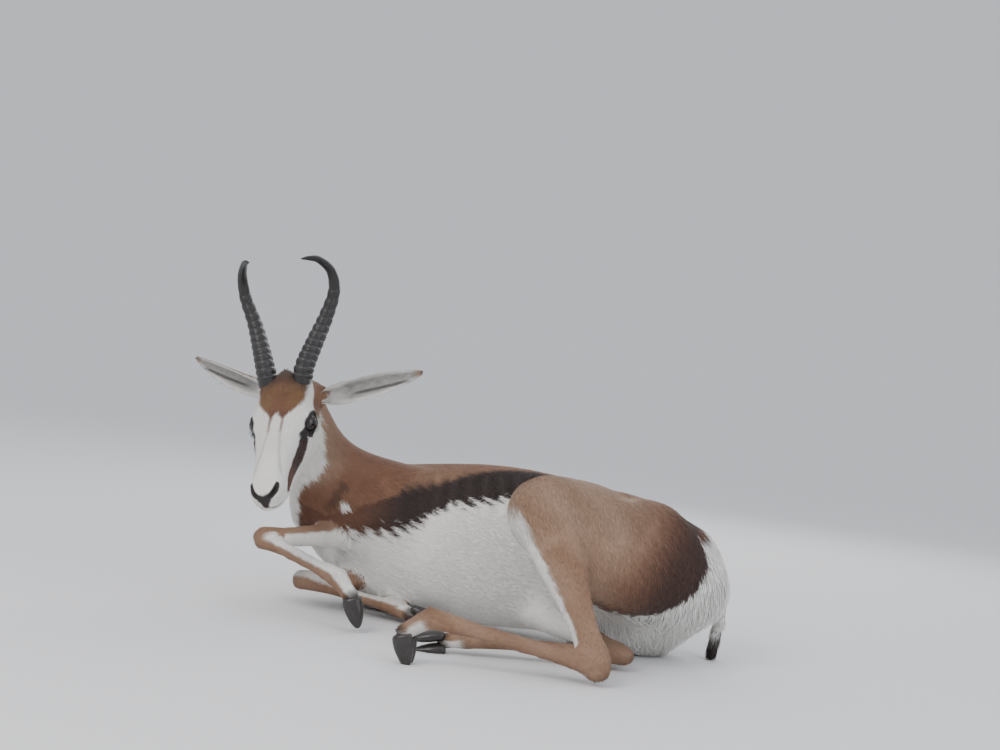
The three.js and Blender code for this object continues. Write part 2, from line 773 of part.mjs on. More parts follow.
// White locks hang from the lower edge of the left buttock, in rows that overlap
const chance = seeded(7);
const rumpForm = melt(20, bodyForm, haunchForm);
let rump = bodySolid.trimByPlane(RUMP_WAY.toArray(), RUMP_START + GAP);
for (let i = 0; i < RUMP_LOCKS; i += 1) {
  const row = i % 2;
  const share = (i + 0.6 * (chance() - 0.5)) / (RUMP_LOCKS - 1);
  const from = v(mix(246, 352, share), mix(40, 56, share), mix(112, 118, share));
  const drop = mix(-0.75, -0.05, share) - 0.3 * row + 0.1 * chance();
  const way = v(mix(-0.05, 0.55, share), -0.8, drop).normalize();
  let reach = 20;
  while (rumpForm(from.clone().addScaledVector(way, reach)) < -1) {
    reach += 1;
  }
  const root = from.clone().addScaledVector(way, reach);
  const normal = facing(rumpForm, root);
  const fall = v(mix(0.25, 0.6, share) + 0.2 * (chance() - 0.5), -0.1, -1);
  const [lie] = across(normal, fall);
  const length = Math.min(LOCK_LENGTH * mix(0.75, 1.1, chance()), root.z / Math.max(-lie.z, 0.1));
  rump = rump.add(lock(root, normal, lie, length, mix(18, 26, chance())));
}
const rumpBounds = haunchCutter.add(
  bodyCutter.trimByPlane(RUMP_WAY.clone().negate().toArray(), -RUMP_START),
);
bodyParts.add(piece("rump", onFloor(rump.subtract(rumpBounds)), COAT.white));

// The tail lies along the rear of the rump, down to the floor, and ends in a tuft
const tailLine = new THREE.CatmullRomCurve3([
  JOINT.tailRoot,
  v(394, 114, 152),
  v(413, 112, 114),
  v(412, 96, 64),
  v(404, 80, 30),
]);
const tailStations = Array.from({ length: 9 }, (_, i) => {
  const share = i / 8;
  const radius = TAIL_RADIUS * (1.35 - 0.6 * share);
  return { at: tailLine.getPointAt(share), wide: radius, deep: radius * 0.75 };
});
let tail = solid(tube(tailStations, v(0, 0.7, 0.7), 9)).subtract(bodyCutter);
for (let i = 0; i < TUFT_LOCKS; i += 1) {
  const angle = (2 * Math.PI * (i + 0.3 * chance())) / TUFT_LOCKS;
  const end = tailLine.getPointAt(mix(0.75, 0.9, chance()));
  const out = v(Math.cos(angle), Math.sin(angle), 0.1);
  const root = end.clone().addScaledVector(out, 3);
  const lie = v(0.1 + 0.1 * out.x, -0.3 + 0.1 * out.y, -0.9).normalize();
  const length = Math.min(60, (root.z - 1) / -lie.z);
  tail = tail.add(lock(root, out, lie, length, 19));
}
bodyParts.add(piece("tail", onFloor(tail), COAT.white));

// The middle of the whole figure's foot print is the origin
const outline = new THREE.Box3().setFromObject(model);
const middle = outline.getCenter(v(0, 0, 0));
bodyParts.position.set(-middle.x, -middle.y, -outline.min.z);

export default model;
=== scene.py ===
"""Looks of a life-size springbok ram at rest: one skin over the solid model, its short coat of tufts,
the white fringe of the rump and the tail, and its eyes, lids, horns and hooves."""
from typing import NamedTuple

import math

import bmesh
import bpy
import numpy as np
from bpy.props import FloatProperty, FloatVectorProperty, IntProperty, PointerProperty
from mathutils import Matrix, Vector
from mathutils.bvhtree import BVHTree


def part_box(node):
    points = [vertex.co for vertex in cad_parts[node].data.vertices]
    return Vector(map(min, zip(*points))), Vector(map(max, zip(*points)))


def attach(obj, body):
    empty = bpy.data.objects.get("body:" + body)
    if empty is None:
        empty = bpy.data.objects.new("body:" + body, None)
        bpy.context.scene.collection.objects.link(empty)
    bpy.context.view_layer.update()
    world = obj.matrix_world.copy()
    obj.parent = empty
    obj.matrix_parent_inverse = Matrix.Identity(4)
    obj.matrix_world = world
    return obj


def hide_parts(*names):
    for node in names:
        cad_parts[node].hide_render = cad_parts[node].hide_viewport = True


bl_info = {
    "name": "Springbok",
    "version": (1, 0, 0),
    "blender": (4, 5, 0),
    "location": "View3D > Sidebar > Springbok",
    "description": "Builds the skin, coat, eyes, horns and hooves of a resting springbok ram",
    "category": "Add Mesh",
}

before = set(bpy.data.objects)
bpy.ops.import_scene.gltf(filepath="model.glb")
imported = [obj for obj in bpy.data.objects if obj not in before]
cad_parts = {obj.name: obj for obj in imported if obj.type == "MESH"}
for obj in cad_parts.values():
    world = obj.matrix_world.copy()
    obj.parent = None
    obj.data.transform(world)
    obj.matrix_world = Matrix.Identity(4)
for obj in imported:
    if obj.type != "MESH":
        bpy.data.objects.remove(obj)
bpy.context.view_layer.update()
MM = 0.001


def unit(vectors):
    """Each vector at length 1."""
    length = np.linalg.norm(vectors, axis=-1, keepdims=True)
    return vectors / np.maximum(length, 1e-9)


def middle_of(node):
    """The middle of a solid node's box, in metres."""
    low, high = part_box(node)
    return np.array((low + high) / 2)


# The head's own frame, as the solid model has it: X from poll to nose, Y to its left, Z out of the forehead
POLL = np.array((-343.5, 40.0, 370.5))
BETWEEN_EYES = np.array((72.0, 0.0, -26.0))
EYE_LEFT, EYE_RIGHT = middle_of("eye_left"), middle_of("eye_right")
FACE_FORWARD = unit(np.array((0.022, -0.765, -0.65)))
FACE_LEFT = unit(EYE_LEFT - EYE_RIGHT)
FACE_LEFT = unit(FACE_LEFT - FACE_FORWARD * (FACE_LEFT @ FACE_FORWARD))
HEAD_AXES = np.array((FACE_FORWARD, FACE_LEFT, np.cross(FACE_FORWARD, FACE_LEFT)))
# The body's frame, in millimetres, is the solid model's before it was centred on its footprint
BODY_ORIGIN = (EYE_LEFT + EYE_RIGHT) / 2 - MM * (POLL + BETWEEN_EYES @ HEAD_AXES)
# An eye's radius and the way it faces, and half the opening of its lids along and across
EYE_RADIUS = 17.0
EYE_OUT = unit(np.array((0.42, 0.87, 0.24)))
OPENING_HALF = 16.0
UPPER_LID = 11.5
LOWER_LID = 9.5


def from_body(points):
    """Body frame in millimetres to the model's frame in metres."""
    return np.asarray(points, float) * MM + BODY_ORIGIN


def to_body(points):
    return (np.asarray(points, float) - BODY_ORIGIN) / MM


def from_head(points):
    """Head frame in millimetres to the model's frame in metres."""
    return from_body(POLL + np.asarray(points, float) @ HEAD_AXES)


def to_head(points):
    return (to_body(points) - POLL) @ HEAD_AXES.T


def step(low, high, x):
    """0 below low, 1 above high, and smooth between them."""
    t = np.clip((x - low) / (high - low), 0, 1)
    return t * t * (3 - 2 * t)


def mix(a, b, share):
    share = np.asarray(share)[..., None] if np.ndim(share) and np.ndim(b) else share
    return a + (b - a) * share


def ripple(points, scale, seed=0.0):
    """Smooth unrest between -1 and 1 that changes over about scale millimetres."""
    p = np.asarray(points) / scale
    a = np.sin(2.1 * p[:, 0] + 1.7 * np.sin(1.3 * p[:, 1] + seed) + 2.9 * p[:, 2])
    b = np.sin(1.9 * p[:, 1] - 1.5 * np.sin(1.7 * p[:, 2] - seed) + 2.3 * p[:, 0] + seed)
    return (a + b) / 2


# Sizes and colours


def length_property(name, description, value, least=0.0):
    return FloatProperty(name=name, description=description, default=value, min=least, unit="LENGTH")


class SpringbokSizes(bpy.types.PropertyGroup):
    voxel: length_property("Skin cell", "Size of the cells from which the skin is made", 0.005, 0.003)
    coat_depth: length_property("Coat depth", "How far the trunk's skin lies inside the solid model", 0.0015)
    body_hair: length_property("Body hair", "Length of a tuft on the trunk", 0.0105)
    leg_hair: length_property("Leg hair", "Length of a tuft on the legs", 0.0068)
    face_hair: length_property("Face hair", "Length of a tuft on the face", 0.0046)
    fringe_hair: length_property("Fringe hair", "Length of the white hair of the rump", 0.036)
    tufts: IntProperty(name="Tufts", description="Number of short tufts", default=290000, min=1000)
    horn_rings: IntProperty(name="Horn rings", description="Rings round each horn", default=13, min=3)


def colour_property(name, description, value):
    return FloatVectorProperty(
        name=name, description=description, subtype="COLOR", size=3, default=value, min=0, max=1
    )


class SpringbokColours(bpy.types.PropertyGroup):
    fawn: colour_property("Fawn", "Back and outer legs", (0.235, 0.125, 0.072))
    cinnamon: colour_property("Cinnamon", "Neck, rump and temples", (0.165, 0.068, 0.036))
    pale_fawn: colour_property("Pale fawn", "Middle of the thigh", (0.36, 0.235, 0.158))
    tawny: colour_property("Tawny", "Middle of the forehead", (0.19, 0.095, 0.036))
    dark: colour_property("Dark brown", "Flank band and edge of the rump", (0.020, 0.0085, 0.006))
    stripe: colour_property("Stripe", "Line from the eye to the mouth", (0.032, 0.012, 0.008))
    white: colour_property("White", "Face, belly, rump and tail", (0.80, 0.78, 0.74))
    naked: colour_property("Bare skin", "Nose, lips and lid edges", (0.022, 0.017, 0.016))
    horn: colour_property("Horn", "Horn sheath", (0.015, 0.013, 0.013))
    hoof: colour_property("Hoof", "Hoof wall", (0.022, 0.018, 0.016))


def colour(name):
    return np.array(getattr(bpy.context.scene.springbok_colours, name))


def sizes():
    return bpy.context.scene.springbok_sizes


# Where the flesh lies, in the body's frame

# [X, centre Y, centre Z, half depth, half width, roll off upright in degrees]
TRUNK = np.array(
    [
        (-262, 250, 128, 70, 58, 40),
        (-150, 222, 126, 142, 100, 44),
        (10, 165, 147, 150, 108, 49),
        (170, 113, 160, 120, 97, 55),
        (310, 72, 132, 106, 88, 60),
        (365, 60, 120, 84, 70, 60),
    ],
    float,
)
NECK = np.array([(-325, 100, 338), (-278, 170, 250), (-196, 212, 188)], float)
TAIL_LINE = np.array(
    [(372, 106, 152), (394, 114, 152), (413, 112, 114), (412, 96, 64), (404, 80, 30)], float
)
# Each leg from its top joint down: the ends of its forearm or shank, cannon and pastern
LEGS = {
    "foreleg_left": [(-142, 128, 141), (-356, 92, 108), (-214, -45, 77), (-188, -66, 52)],
    "foreleg_right": [(-118, 134, 66), (-292, 138, 40), (-116, 66, 22), (-98, 44, 18)],
    "hindleg_left": [(92, -118, 226), (188, -262, 28), (-56, -276, 70), (-92, -272, 44)],
    "hindleg_right": [(100, 62, 56), (234, -122, 24), (0, -150, 24), (-34, -154, 18)],
}
LEG_TOP = {name: "forearm" if name.startswith("fore") else "shank" for name in LEGS}
LIMBS = [f"{leg}_{part}" for leg in LEGS for part in (LEG_TOP[leg], "cannon")]
BROAD = ["torso", "neck", "hindleg_left_thigh", "rump"]
FINE = ["head", "tail", *LIMBS]
FLESH = ["head", *BROAD, *LIMBS, "tail", "ear_left", "ear_right"]
# Each ear in the head's frame: its root, the way it points and the way its cup opens
EARS = {
    "ear_left": np.array([(-16, 49, -49), (-0.2, 0.98, 0.06), (0.83, 0.15, 0.54)]),
    "ear_right": np.array([(-31, -31, -42), (-0.44, -0.89, 0.14), (0.96, -0.2, 0.22)]),
}
EAR_LENGTH = 166.0
EAR_HALF_WIDTH = 18.5


def ear_axes(name):
    """An ear's root and its axes in the head's frame: along, out of its cup, and to its lower edge."""
    root, way, cup = EARS[name]
    way = unit(way)
    cup = unit(cup - way * (cup @ way))
    low = np.cross(way, cup) * (1 if name == "ear_left" else -1)
    return root, way, cup, low


def trunk_at(x):
    """The trunk's section at x: centre Y, centre Z, half depth, half width and roll in radians."""
    y, z, deep, wide, roll = (np.interp(x, TRUNK[:, 0], TRUNK[:, k]) for k in range(1, 6))
    return y, z, deep, wide, np.radians(roll)


def trunk_angle(body):
    """How far round the trunk a point lies, in degrees: 0 at the spine, 90 on the left, 180 at the belly."""
    y, z, deep, wide, roll = trunk_at(body[:, 0])
    off_y, off_z = body[:, 1] - y, body[:, 2] - z
    back = (off_y * np.sin(roll) + off_z * np.cos(roll)) / deep
    left = (off_z * np.sin(roll) - off_y * np.cos(roll)) / wide
    return np.degrees(np.arctan2(left, back))


def segment_distance(points, a, b):
    """Distance of each point from the line a to b, and its share of the way along."""
    a, b = np.asarray(a, float), np.asarray(b, float)
    share = np.clip((points - a) @ (b - a) / ((b - a) @ (b - a)), 0, 1)
    return np.linalg.norm(points - (a + share[:, None] * (b - a)), axis=1), share


def path_distance(points, path):
    """Distance of each point from the nearest stretch of a path."""
    return np.min([segment_distance(points, a, b)[0] for a, b in zip(path, path[1:])], axis=0)


def at(table, x):
    """The second column of a table, read where its first column is x."""
    return np.interp(x, *np.transpose(table))


def among(node, *names):
    """Which points belong to the nodes named."""
    return np.isin(node, [FLESH.index(name) for name in names])


def node_finder():
    """A function that tells, for each point, which flesh node is nearest."""
    corners, owners = [], []
    for index, name in enumerate(FLESH):
        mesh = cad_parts[name].data
        mesh.calc_loop_triangles()
        triangles = read(mesh.loop_triangles, "vertices", 3, np.int32)
        corners.append(places(mesh)[triangles].reshape(-1, 3))
        owners.append(np.full(len(triangles), index))
    corners, owners = np.concatenate(corners), np.concatenate(owners)
    faces = np.arange(len(corners)).reshape(-1, 3)
    tree = BVHTree.FromPolygons(corners.tolist(), faces.tolist())
    return lambda points: owners[[tree.find_nearest(p)[2] for p in points.tolist()]]


# Meshes


def read(collection, key, width, kind=np.float32):
    """One value of every item in a mesh's collection."""
    data = np.empty(len(collection) * width, kind)
    collection.foreach_get(key, data)
    return data.reshape(-1, width) if width > 1 else data


def places(mesh):
    return read(mesh.vertices, "co", 3).astype(float)


def normals_of(mesh):
    return read(mesh.vertices, "normal", 3).astype(float)


def edges_of(mesh):
    return read(mesh.edges, "vertices", 2, np.int32)


def write(mesh, points):
    mesh.vertices.foreach_set("co", np.asarray(points, np.float32).ravel())
    mesh.update()


def lifted(points, least):
    """Points no lower than a least height."""
    return np.column_stack([points[:, :2], np.maximum(points[:, 2], least)])


def smooth_shaded(mesh):
    mesh.polygons.foreach_set("use_smooth", np.ones(len(mesh.polygons), bool))


def only(obj):
    bpy.ops.object.select_all(action="DESELECT")
    obj.select_set(True)
    bpy.context.view_layer.objects.active = obj


def modified(obj, kind, **values):
    """Adds a modifier and applies it."""
    only(obj)
    modifier = obj.modifiers.new(kind.title(), kind)
    for key, value in values.items():
        setattr(modifier, key, value)
    bpy.ops.object.modifier_apply(modifier=modifier.name)


def placed(name, data):
    """A new object that holds this data."""
    obj = bpy.data.objects.new(name, data)
    bpy.context.scene.collection.objects.link(obj)
    return obj


def built(name, points, faces):
    """An object from points in metres and its faces."""
    mesh = bpy.data.meshes.new(name)
    mesh.from_pydata(np.asarray(points).tolist(), [], faces)
    return placed(name, mesh)


def kept(made, name):
    """An object from a bmesh, which is freed."""
    mesh = bpy.data.meshes.new(name)
    made.to_mesh(mesh)
    made.free()
    return placed(name, mesh)


def merged(node):
    """A solid node as a bmesh, with its loose corners merged."""
    made = bmesh.new()
    made.from_mesh(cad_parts[node].data)
    bmesh.ops.remove_doubles(made, verts=made.verts, dist=1e-5)
    return made


def copy_of(node, name):
    return kept(merged(node), name)


def outward(mesh):
    """Turns a mesh's faces outward."""
    made = bmesh.new()
    made.from_mesh(mesh)
    bmesh.ops.recalc_face_normals(made, faces=made.faces)
    made.to_mesh(mesh)
    made.free()


def tube_faces(rings, count):
    """The four-sided faces between rings of so many points that follow one another."""
    faces = []
    for base in range(0, (rings - 1) * count, count):
        for k in range(count):
            a, b = base + k, base + (k + 1) % count
            faces.append((a, b, b + count, a + count))
    return faces


def joined(objects, name):
    only(objects[0])
    for obj in objects[1:]:
        obj.select_set(True)
    bpy.ops.object.join()
    objects[0].name = name
    objects[0].data.name = name
    return objects[0]


def colour_attribute(mesh, values):
    """Stores the coat's colour on each vertex."""
    layer = mesh.attributes.get("coat") or mesh.attributes.new("coat", "FLOAT_COLOR", "POINT")
    rgba = np.ones((len(mesh.vertices), 4), np.float32)
    rgba[:, :3] = values
    layer.data.foreach_set("color", rgba.ravel())


def finished(obj, material, slot, *nodes):
    """Gives a piece its material and its place in the frame."""
    obj.data.materials.clear()
    obj.data.materials.append(material)
    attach(obj, "root")
    if nodes:
        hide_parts(*nodes)
    return obj


# Markings

# [X, degrees round the trunk] of the upper and the lower edge of the dark band
BAND_TOP = [(-262, 106), (-176, 98), (-96, 82), (-44, 68), (20, 57), (95, 50), (170, 46)]
BAND_LOW = [(-270, 126), (-227, 121), (-159, 118), (-115, 114), (-65, 100), (46, 95), (130, 92), (200, 90)]
# [Z, X] of the edge where the neck's brown meets the white of the throat
THROAT_EDGE = [(140, -313), (165, -313), (185, -315), (203, -306), (212, -293), (222, -281), (242, -270)]
THROAT_EDGE += [(265, -276), (298, -282), (328, -289), (350, -300)]
# The white spot on the chest: its middle and half sizes
CHEST_SPOT = np.array([(-232, 100, 176), (8.5, 40, 8)])
# A dark line of painted shade along the fold low on the neck
NECK_FOLD_SHADE = [(-235, 112, 210), (-249, 107, 192), (-256, 108, 174)]
BUTTOCK = (240.0, 175.0, 126.0, 94.0)  # the tan of the thigh ends on this ellipse: centre X, Z, half X, Z


def on_buttock(body):
    """Places back and up from the middle of the buttock's ellipse, as shares of its half sizes."""
    x, z, half_x, half_z = BUTTOCK
    return (body[:, 0] - x) / half_x, (body[:, 2] - z) / half_z


def body_colour(body, normals, node):
    """The trunk, neck and thigh."""
    x, z = body[:, 0], body[:, 2]
    round_body = np.abs(trunk_angle(body))
    off_neck, off_thigh = ~among(node, "neck"), ~among(node, "hindleg_left_thigh")
    ragged = 4.5 * ripple(body, 9) + 3 * ripple(body, 3.1, 2.0)
    result = mix(colour("fawn"), colour("cinnamon"), 0.55 * step(75, 0, round_body))
    # The dark band along the flank, redder at the shoulder, and the white under it
    top, low = at(BAND_TOP, x), at(BAND_LOW, x)
    band = step(top - 7, top + 4, round_body + 0.4 * ragged)
    band_colour = mix(colour("dark"), colour("cinnamon"), 0.75 * step(-130, -235, x))
    result = mix(result, band_colour, band * off_neck)
    result = mix(result, colour("white"), step(low - 2, low + 2, round_body + ragged) * off_neck)
    # The neck, pale beside the cheek and white along the throat
    behind_throat = x - at(THROAT_EDGE, z) + 0.6 * ragged
    neck = mix(colour("cinnamon"), colour("fawn"), 0.3 + 0.2 * ripple(body, 40))
    neck = mix(neck, colour("pale_fawn"), 0.75 * step(46, 4, behind_throat) * step(180, 230, z))
    # painted shade: the neck darkens along its fold
    neck = mix(neck, colour("dark"), 0.5 * step(13, 3, path_distance(body, NECK_FOLD_SHADE) + ragged))
    result = np.where(off_neck[:, None], result, neck)
    spot = np.linalg.norm((body - CHEST_SPOT[0]) / CHEST_SPOT[1], axis=1) + 0.02 * ragged
    pale = np.maximum(step(3, -3, behind_throat), step(1.1, 0.9, spot))
    result = mix(result, colour("white"), pale * among(node, "neck", "torso"))
    # The thigh: pale in the middle, then painted shade that turns its rear red-brown and then dark towards
    # the white rump
    back, up = on_buttock(body)
    out = np.sqrt(back**2 + up**2) + 0.012 * ragged
    behind = step(-0.25, 0.1, back - 0.8 * up)
    # painted shade: the rear of the thigh darkens to red-brown and then to dark brown
    rear_shade = back - 0.35 * up + 0.015 * ragged
    thigh = mix(colour("pale_fawn"), colour("fawn"), 0.35 + 0.3 * ripple(body, 45))
    thigh = mix(thigh, colour("cinnamon"), step(-0.55, 0.55, rear_shade))
    thigh = mix(thigh, colour("dark") * 1.5, 0.85 * step(-0.05, 0.72, rear_shade))
    thigh = mix(thigh, colour("dark") * 1.5, 0.5 * step(0.84, 0.98, out) * behind)
    thigh = mix(thigh, colour("white"), step(0.99, 1.03, out) * behind)
    front = normals @ unit(np.array((-1.0, -0.15, -0.35)))
    thigh = mix(thigh, colour("white"), step(0.62, 0.8, front + 0.01 * ragged) * step(240, 205, z))
    result = np.where(off_thigh[:, None], result, thigh)
    # The rump is white behind the tan, in a wedge that narrows forward along the spine
    rear = x - 332 + 0.5 * (150 - z) - 0.1 * np.abs(body[:, 1] - 60) + 2 * ragged
    wedge = step(250, 360, x)
    spine = step(2.0 + 9 * wedge, 0.5 + 6 * wedge, round_body + 0.5 * ragged)
    white = np.maximum(step(-6, 6, rear), spine * step(225, 275, x)) * off_thigh
    edge = step(-42, -6, rear) * step(0.1, 0.0, white)
    result = mix(result, colour("cinnamon"), 0.8 * edge * off_thigh * step(180, 250, x))
    return mix(result, colour("white"), white)


def leg_colour(body, normals, node):
    """The legs: fawn outside and white inside, as they lie."""
    x = body[:, 0]
    ragged = 0.06 * ripple(body, 8) + 0.04 * ripple(body, 3)
    up = normals[:, 2] + ragged
    upper = normals @ unit(np.array((0.55, -0.2, 0.8))) + ragged
    front = normals @ unit(np.array((-1.0, -0.1, -0.45))) + ragged
    _, along = segment_distance(body, *LEGS["foreleg_left"][1:3])
    whites = {
        "foreleg_left_forearm": step(0.50, 0.26, up) * step(-340, -318, x),
        "foreleg_left_cannon": step(-0.1, 0.25, upper) * step(0.02, 0.12, along),
        "foreleg_right_forearm": 0.8 * step(0.35, 0.7, up),
        "foreleg_right_cannon": 0.8 * step(0.35, 0.7, up),
        "hindleg_left_shank": step(0.45, 0.68, front) * step(176, 160, x),
        "hindleg_right_shank": step(205, 175, x),
    }
    white = sum(among(node, name) * share for name, share in whites.items())
    result = mix(colour("fawn"), colour("pale_fawn"), 0.35 + 0.25 * ripple(body, 30))
    result = mix(result, colour("white"), white)
    for leg, (_, _, fetlock, coronet) in LEGS.items():
        distance, along = segment_distance(body, fetlock, coronet)
        side = upper if leg.startswith("foreleg") else 0.2 - up
        pale = 0.85 * step(-0.1, 0.3, side) * step(24, 14, distance)
        result = mix(result, colour("white"), pale * step(0.05, 0.4, along))
        near_hoof = np.linalg.norm(body - coronet, axis=1)
        result = mix(result, colour("dark"), 0.8 * step(17, 10, near_hoof))
    return result


# On the head: [X, half width] of the forehead's patch and of the streaks below it,
# and [Z, X] of the tan's edge
FOREHEAD = [(-30, 26), (10, 38), (36, 37.5), (55, 35), (66, 30), (77, 22), (88, 14.5), (97, 9)]
STREAK = [(94, 10), (120, 9.5), (145, 12), (170, 14.5), (191, 19), (205, 23)]
TAN_EDGE = [(-105, 24), (-80, 28), (-60, 34), (-45, 42), (-32, 48), (-29, 46), (-26, 30), (-14, 0), (-8, -8)]
# The dark round the eye, its middle and half sizes, and the lines that run from it, on the head's left side
EYE_DARK = np.array([(76, 50, -27), (25.5, 32, 18.5)])
EYE_CORNER = [(88, 47, -24), (110, 39.5, -21)]
BROW_LINE = [(0, 44, -14), (30, 49, -27), (52, 50, -30)]
EYE_STRIPE = [(106, 42, -25), (116, 40, -30), (128, 38, -35), (142, 35, -36.5), (160, 31, -38)]
EYE_STRIPE += [(176, 29.5, -38), (190, 28, -39), (202, 26, -44)]
STRIPE_WIDTH = [(100, 8.5), (118, 11), (150, 11.5), (188, 9.5), (204, 7)]  # [X, half width]
NOSTRIL = [(247, 9, -21), (241, 14, -18), (233, 19, -14.5), (226, 22.5, -11)]
NOSTRIL_DEEP = [(243, 6, -26), (237, 10, -23), (229, 14, -20), (223, 17, -17)]
MOUTH = [(250, 0, -44), (243, 9, -45), (232, 18, -47.5), (217, 23, -54), (203, 25, -57), (188, 26, -57)]


def folded_over(head):
    """The head's points with its right side laid over its left."""
    return np.where([False, True, False], np.abs(head), head)


def nose_pad(folded):
    """1 on the bare nose between the nostrils: wide above, narrow towards the lip, low in the middle."""
    x, y, z = folded.T
    half = at([(-46, 3), (-36, 6), (-24, 11), (-15, 13)], z)
    return step(236, 242, x) * step(2, -2, y - half) * step(2, -2, z + 18 - 0.3 * y) * step(-48, -41, z)


def face_colour(head):
    """The head, from a point's place in the head's frame. Left and right are alike."""
    folded = folded_over(head)
    x, y, z = folded.T
    ragged = ripple(head, 7) + 0.6 * ripple(head, 2.6, 1.0)
    result = mix(colour("white"), colour("pale_fawn"), 0.06 + 0.04 * ripple(head, 24))
    # The forehead: grey-brown by the horns, tawny below them, and red-brown down to two points
    down = x + 3 * ragged
    lower = 87 + 11 * step(2, 9, y)
    patch = step(2.5, -2.5, y - at(FOREHEAD, x) + ragged) * step(3, -3, x - lower + 2 * ragged)
    patch = patch * step(-32, -20, z)
    golden = step(12, 34, down) * step(86, 62, down) * (0.35 + 0.65 * step(3, 20, y + 2 * ragged))
    brown = mix(colour("cinnamon"), colour("tawny"), golden)
    brown = mix(brown, colour("stripe"), 0.35 * step(70, 92, x))
    grey_brown = mix(colour("naked"), colour("fawn"), 0.22)
    brown = mix(brown, grey_brown, 0.85 * step(50, 20, down + 0.35 * (30 - y)))
    result = mix(result, brown, patch)
    streak = step(3.4, 1.0, np.abs(y - at(STREAK, x)) + 0.5 * ragged)
    streak = streak * step(88, 96, x) * step(208, 196, x) * (z > -25)
    result = mix(result, colour("cinnamon"), streak * mix(0.75, 0.30, step(112, 132, x)))
    # Back of the head, temples and jaw corner
    behind = step(3, -3, x - at(TAN_EDGE, z) + 1.5 * ragged)
    side = np.maximum(step(24, 32, y), step(-56, -44, z))
    tan = mix(colour("fawn"), colour("cinnamon"), 0.25 + 0.25 * ripple(head, 20))
    result = mix(result, tan, behind * side * (1 - patch))
    brow = path_distance(folded, BROW_LINE) + 0.6 * ragged
    result = mix(result, colour("dark"), 0.9 * step(4.6, 2.2, brow))
    # The stripe from the eye to the corner of the mouth
    stripe = path_distance(folded, EYE_STRIPE) + 0.8 * ragged
    width = at(STRIPE_WIDTH, x)
    stripe_colour = mix(colour("stripe"), colour("cinnamon"), 0.45 * step(150, 185, x))
    result = mix(result, stripe_colour, step(width + 1.2, width - 1.2, stripe))
    # Dark round the eye, then the nose and lips
    eye = np.linalg.norm((folded - EYE_DARK[0]) / EYE_DARK[1], axis=1) + 0.03 * ragged
    corner = path_distance(folded, EYE_CORNER) + 0.5 * ragged
    result = mix(result, colour("naked") * 0.7, np.maximum(step(1.08, 0.94, eye), step(9.5, 7.0, corner)))
    pad = nose_pad(folded + 0.6 * ragged[:, None])
    result = mix(result, colour("naked"), pad)
    result = mix(result, colour("stripe"), 0.7 * pad * step(-36, -40, z))
    nose = np.minimum(path_distance(folded, NOSTRIL), path_distance(folded, NOSTRIL_DEEP))
    result = mix(result, colour("naked"), step(6.0, 4.2, nose + 0.4 * ragged))
    lips = path_distance(folded, MOUTH) + 0.3 * ragged
    return mix(result, colour("naked"), step(2.8, 1.4, lips) * step(184, 200, x))


def ear_colour(head, normals_in_head, node):
    """The ears: fawn behind, grey-beige in the cup with a whitish rim and a dark line, and a tan tip."""
    ragged = ripple(head, 6) + 0.6 * ripple(head, 2.4, 1.0)
    back = mix(colour("pale_fawn"), colour("fawn"), 0.55 + 0.2 * ripple(head, 18))
    result = back
    for name in EARS:
        root, way, cup, low = ear_axes(name)
        along, across = (head - root) @ way, (head - root) @ low
        hollow = mix(colour("white"), colour("naked"), 0.62 + 0.06 * ragged)
        swell = np.sin(np.pi * (0.2 + 0.8 * np.clip(along / EAR_LENGTH, 0, 1)))
        rim = step(0.55, 0.95, np.abs(across) / (EAR_HALF_WIDTH * np.maximum(swell, 0.15) ** 0.8))
        hollow = mix(hollow, colour("white"), 0.75 * rim)
        hollow = mix(hollow, colour("white"), 0.6 * step(44, 16, along + 3 * ragged))
        line = step(3.4, 1.4, np.abs(across - 5 - 0.02 * along) + 0.5 * ragged)
        hollow = mix(hollow, colour("dark"), 0.75 * line * step(38, 62, along) * step(154, 132, along))
        one = mix(back, hollow, step(-0.05, 0.30, normals_in_head @ cup))
        one = mix(one, colour("fawn"), 0.8 * step(146, 162, along + ragged))
        result = np.where(among(node, name)[:, None], one, result)
    return result


def coat_colour(points, normals, node):
    """The markings, the same for the skin and for the tufts that grow on it."""
    body, head = to_body(points), to_head(points)
    kinds = [
        (LIMBS, leg_colour(body, normals, node)),
        (EARS, ear_colour(head, normals @ HEAD_AXES.T, node)),
        (["head"], face_colour(head)),
        (["tail"], mix(colour("white"), colour("dark"), 0.85 * step(48, 34, body[:, 2]))),
    ]
    result = body_colour(body, normals, node)
    for names, own in kinds:
        result = np.where(among(node, *names)[:, None], own, result)
    return np.clip(result, 0.004, 0.9)


# The skin


def thick_core(node, least=0.025):
    """The hull of the thick part of a node that carries locks."""
    source, made = merged(node), bmesh.new()
    source.normal_update()
    tree = BVHTree.FromBMesh(source)
    for vertex in source.verts:
        wall = tree.ray_cast(vertex.co - vertex.normal * 2e-4, -vertex.normal)
        if wall[0] is not None and wall[3] > least:
            made.verts.new(vertex.co)
    source.free()
    hull = bmesh.ops.convex_hull(made, input=made.verts)
    inner = hull["geom_interior"] + hull["geom_unused"]
    spare = {part for part in inner if isinstance(part, bmesh.types.BMVert)}
    bmesh.ops.delete(made, geom=list(spare), context="VERTS")
    return kept(made, f"{node} core")


def balls(name, centres_and_radii):
    """Overlapping balls, to be melted into the skin: centres in metres, radii in millimetres."""
    made = bmesh.new()
    for centre, radius in centres_and_radii:
        place = Matrix.Translation(Vector(centre))
        bmesh.ops.create_icosphere(made, subdivisions=2, radius=radius * MM, matrix=place)
    return kept(made, name)


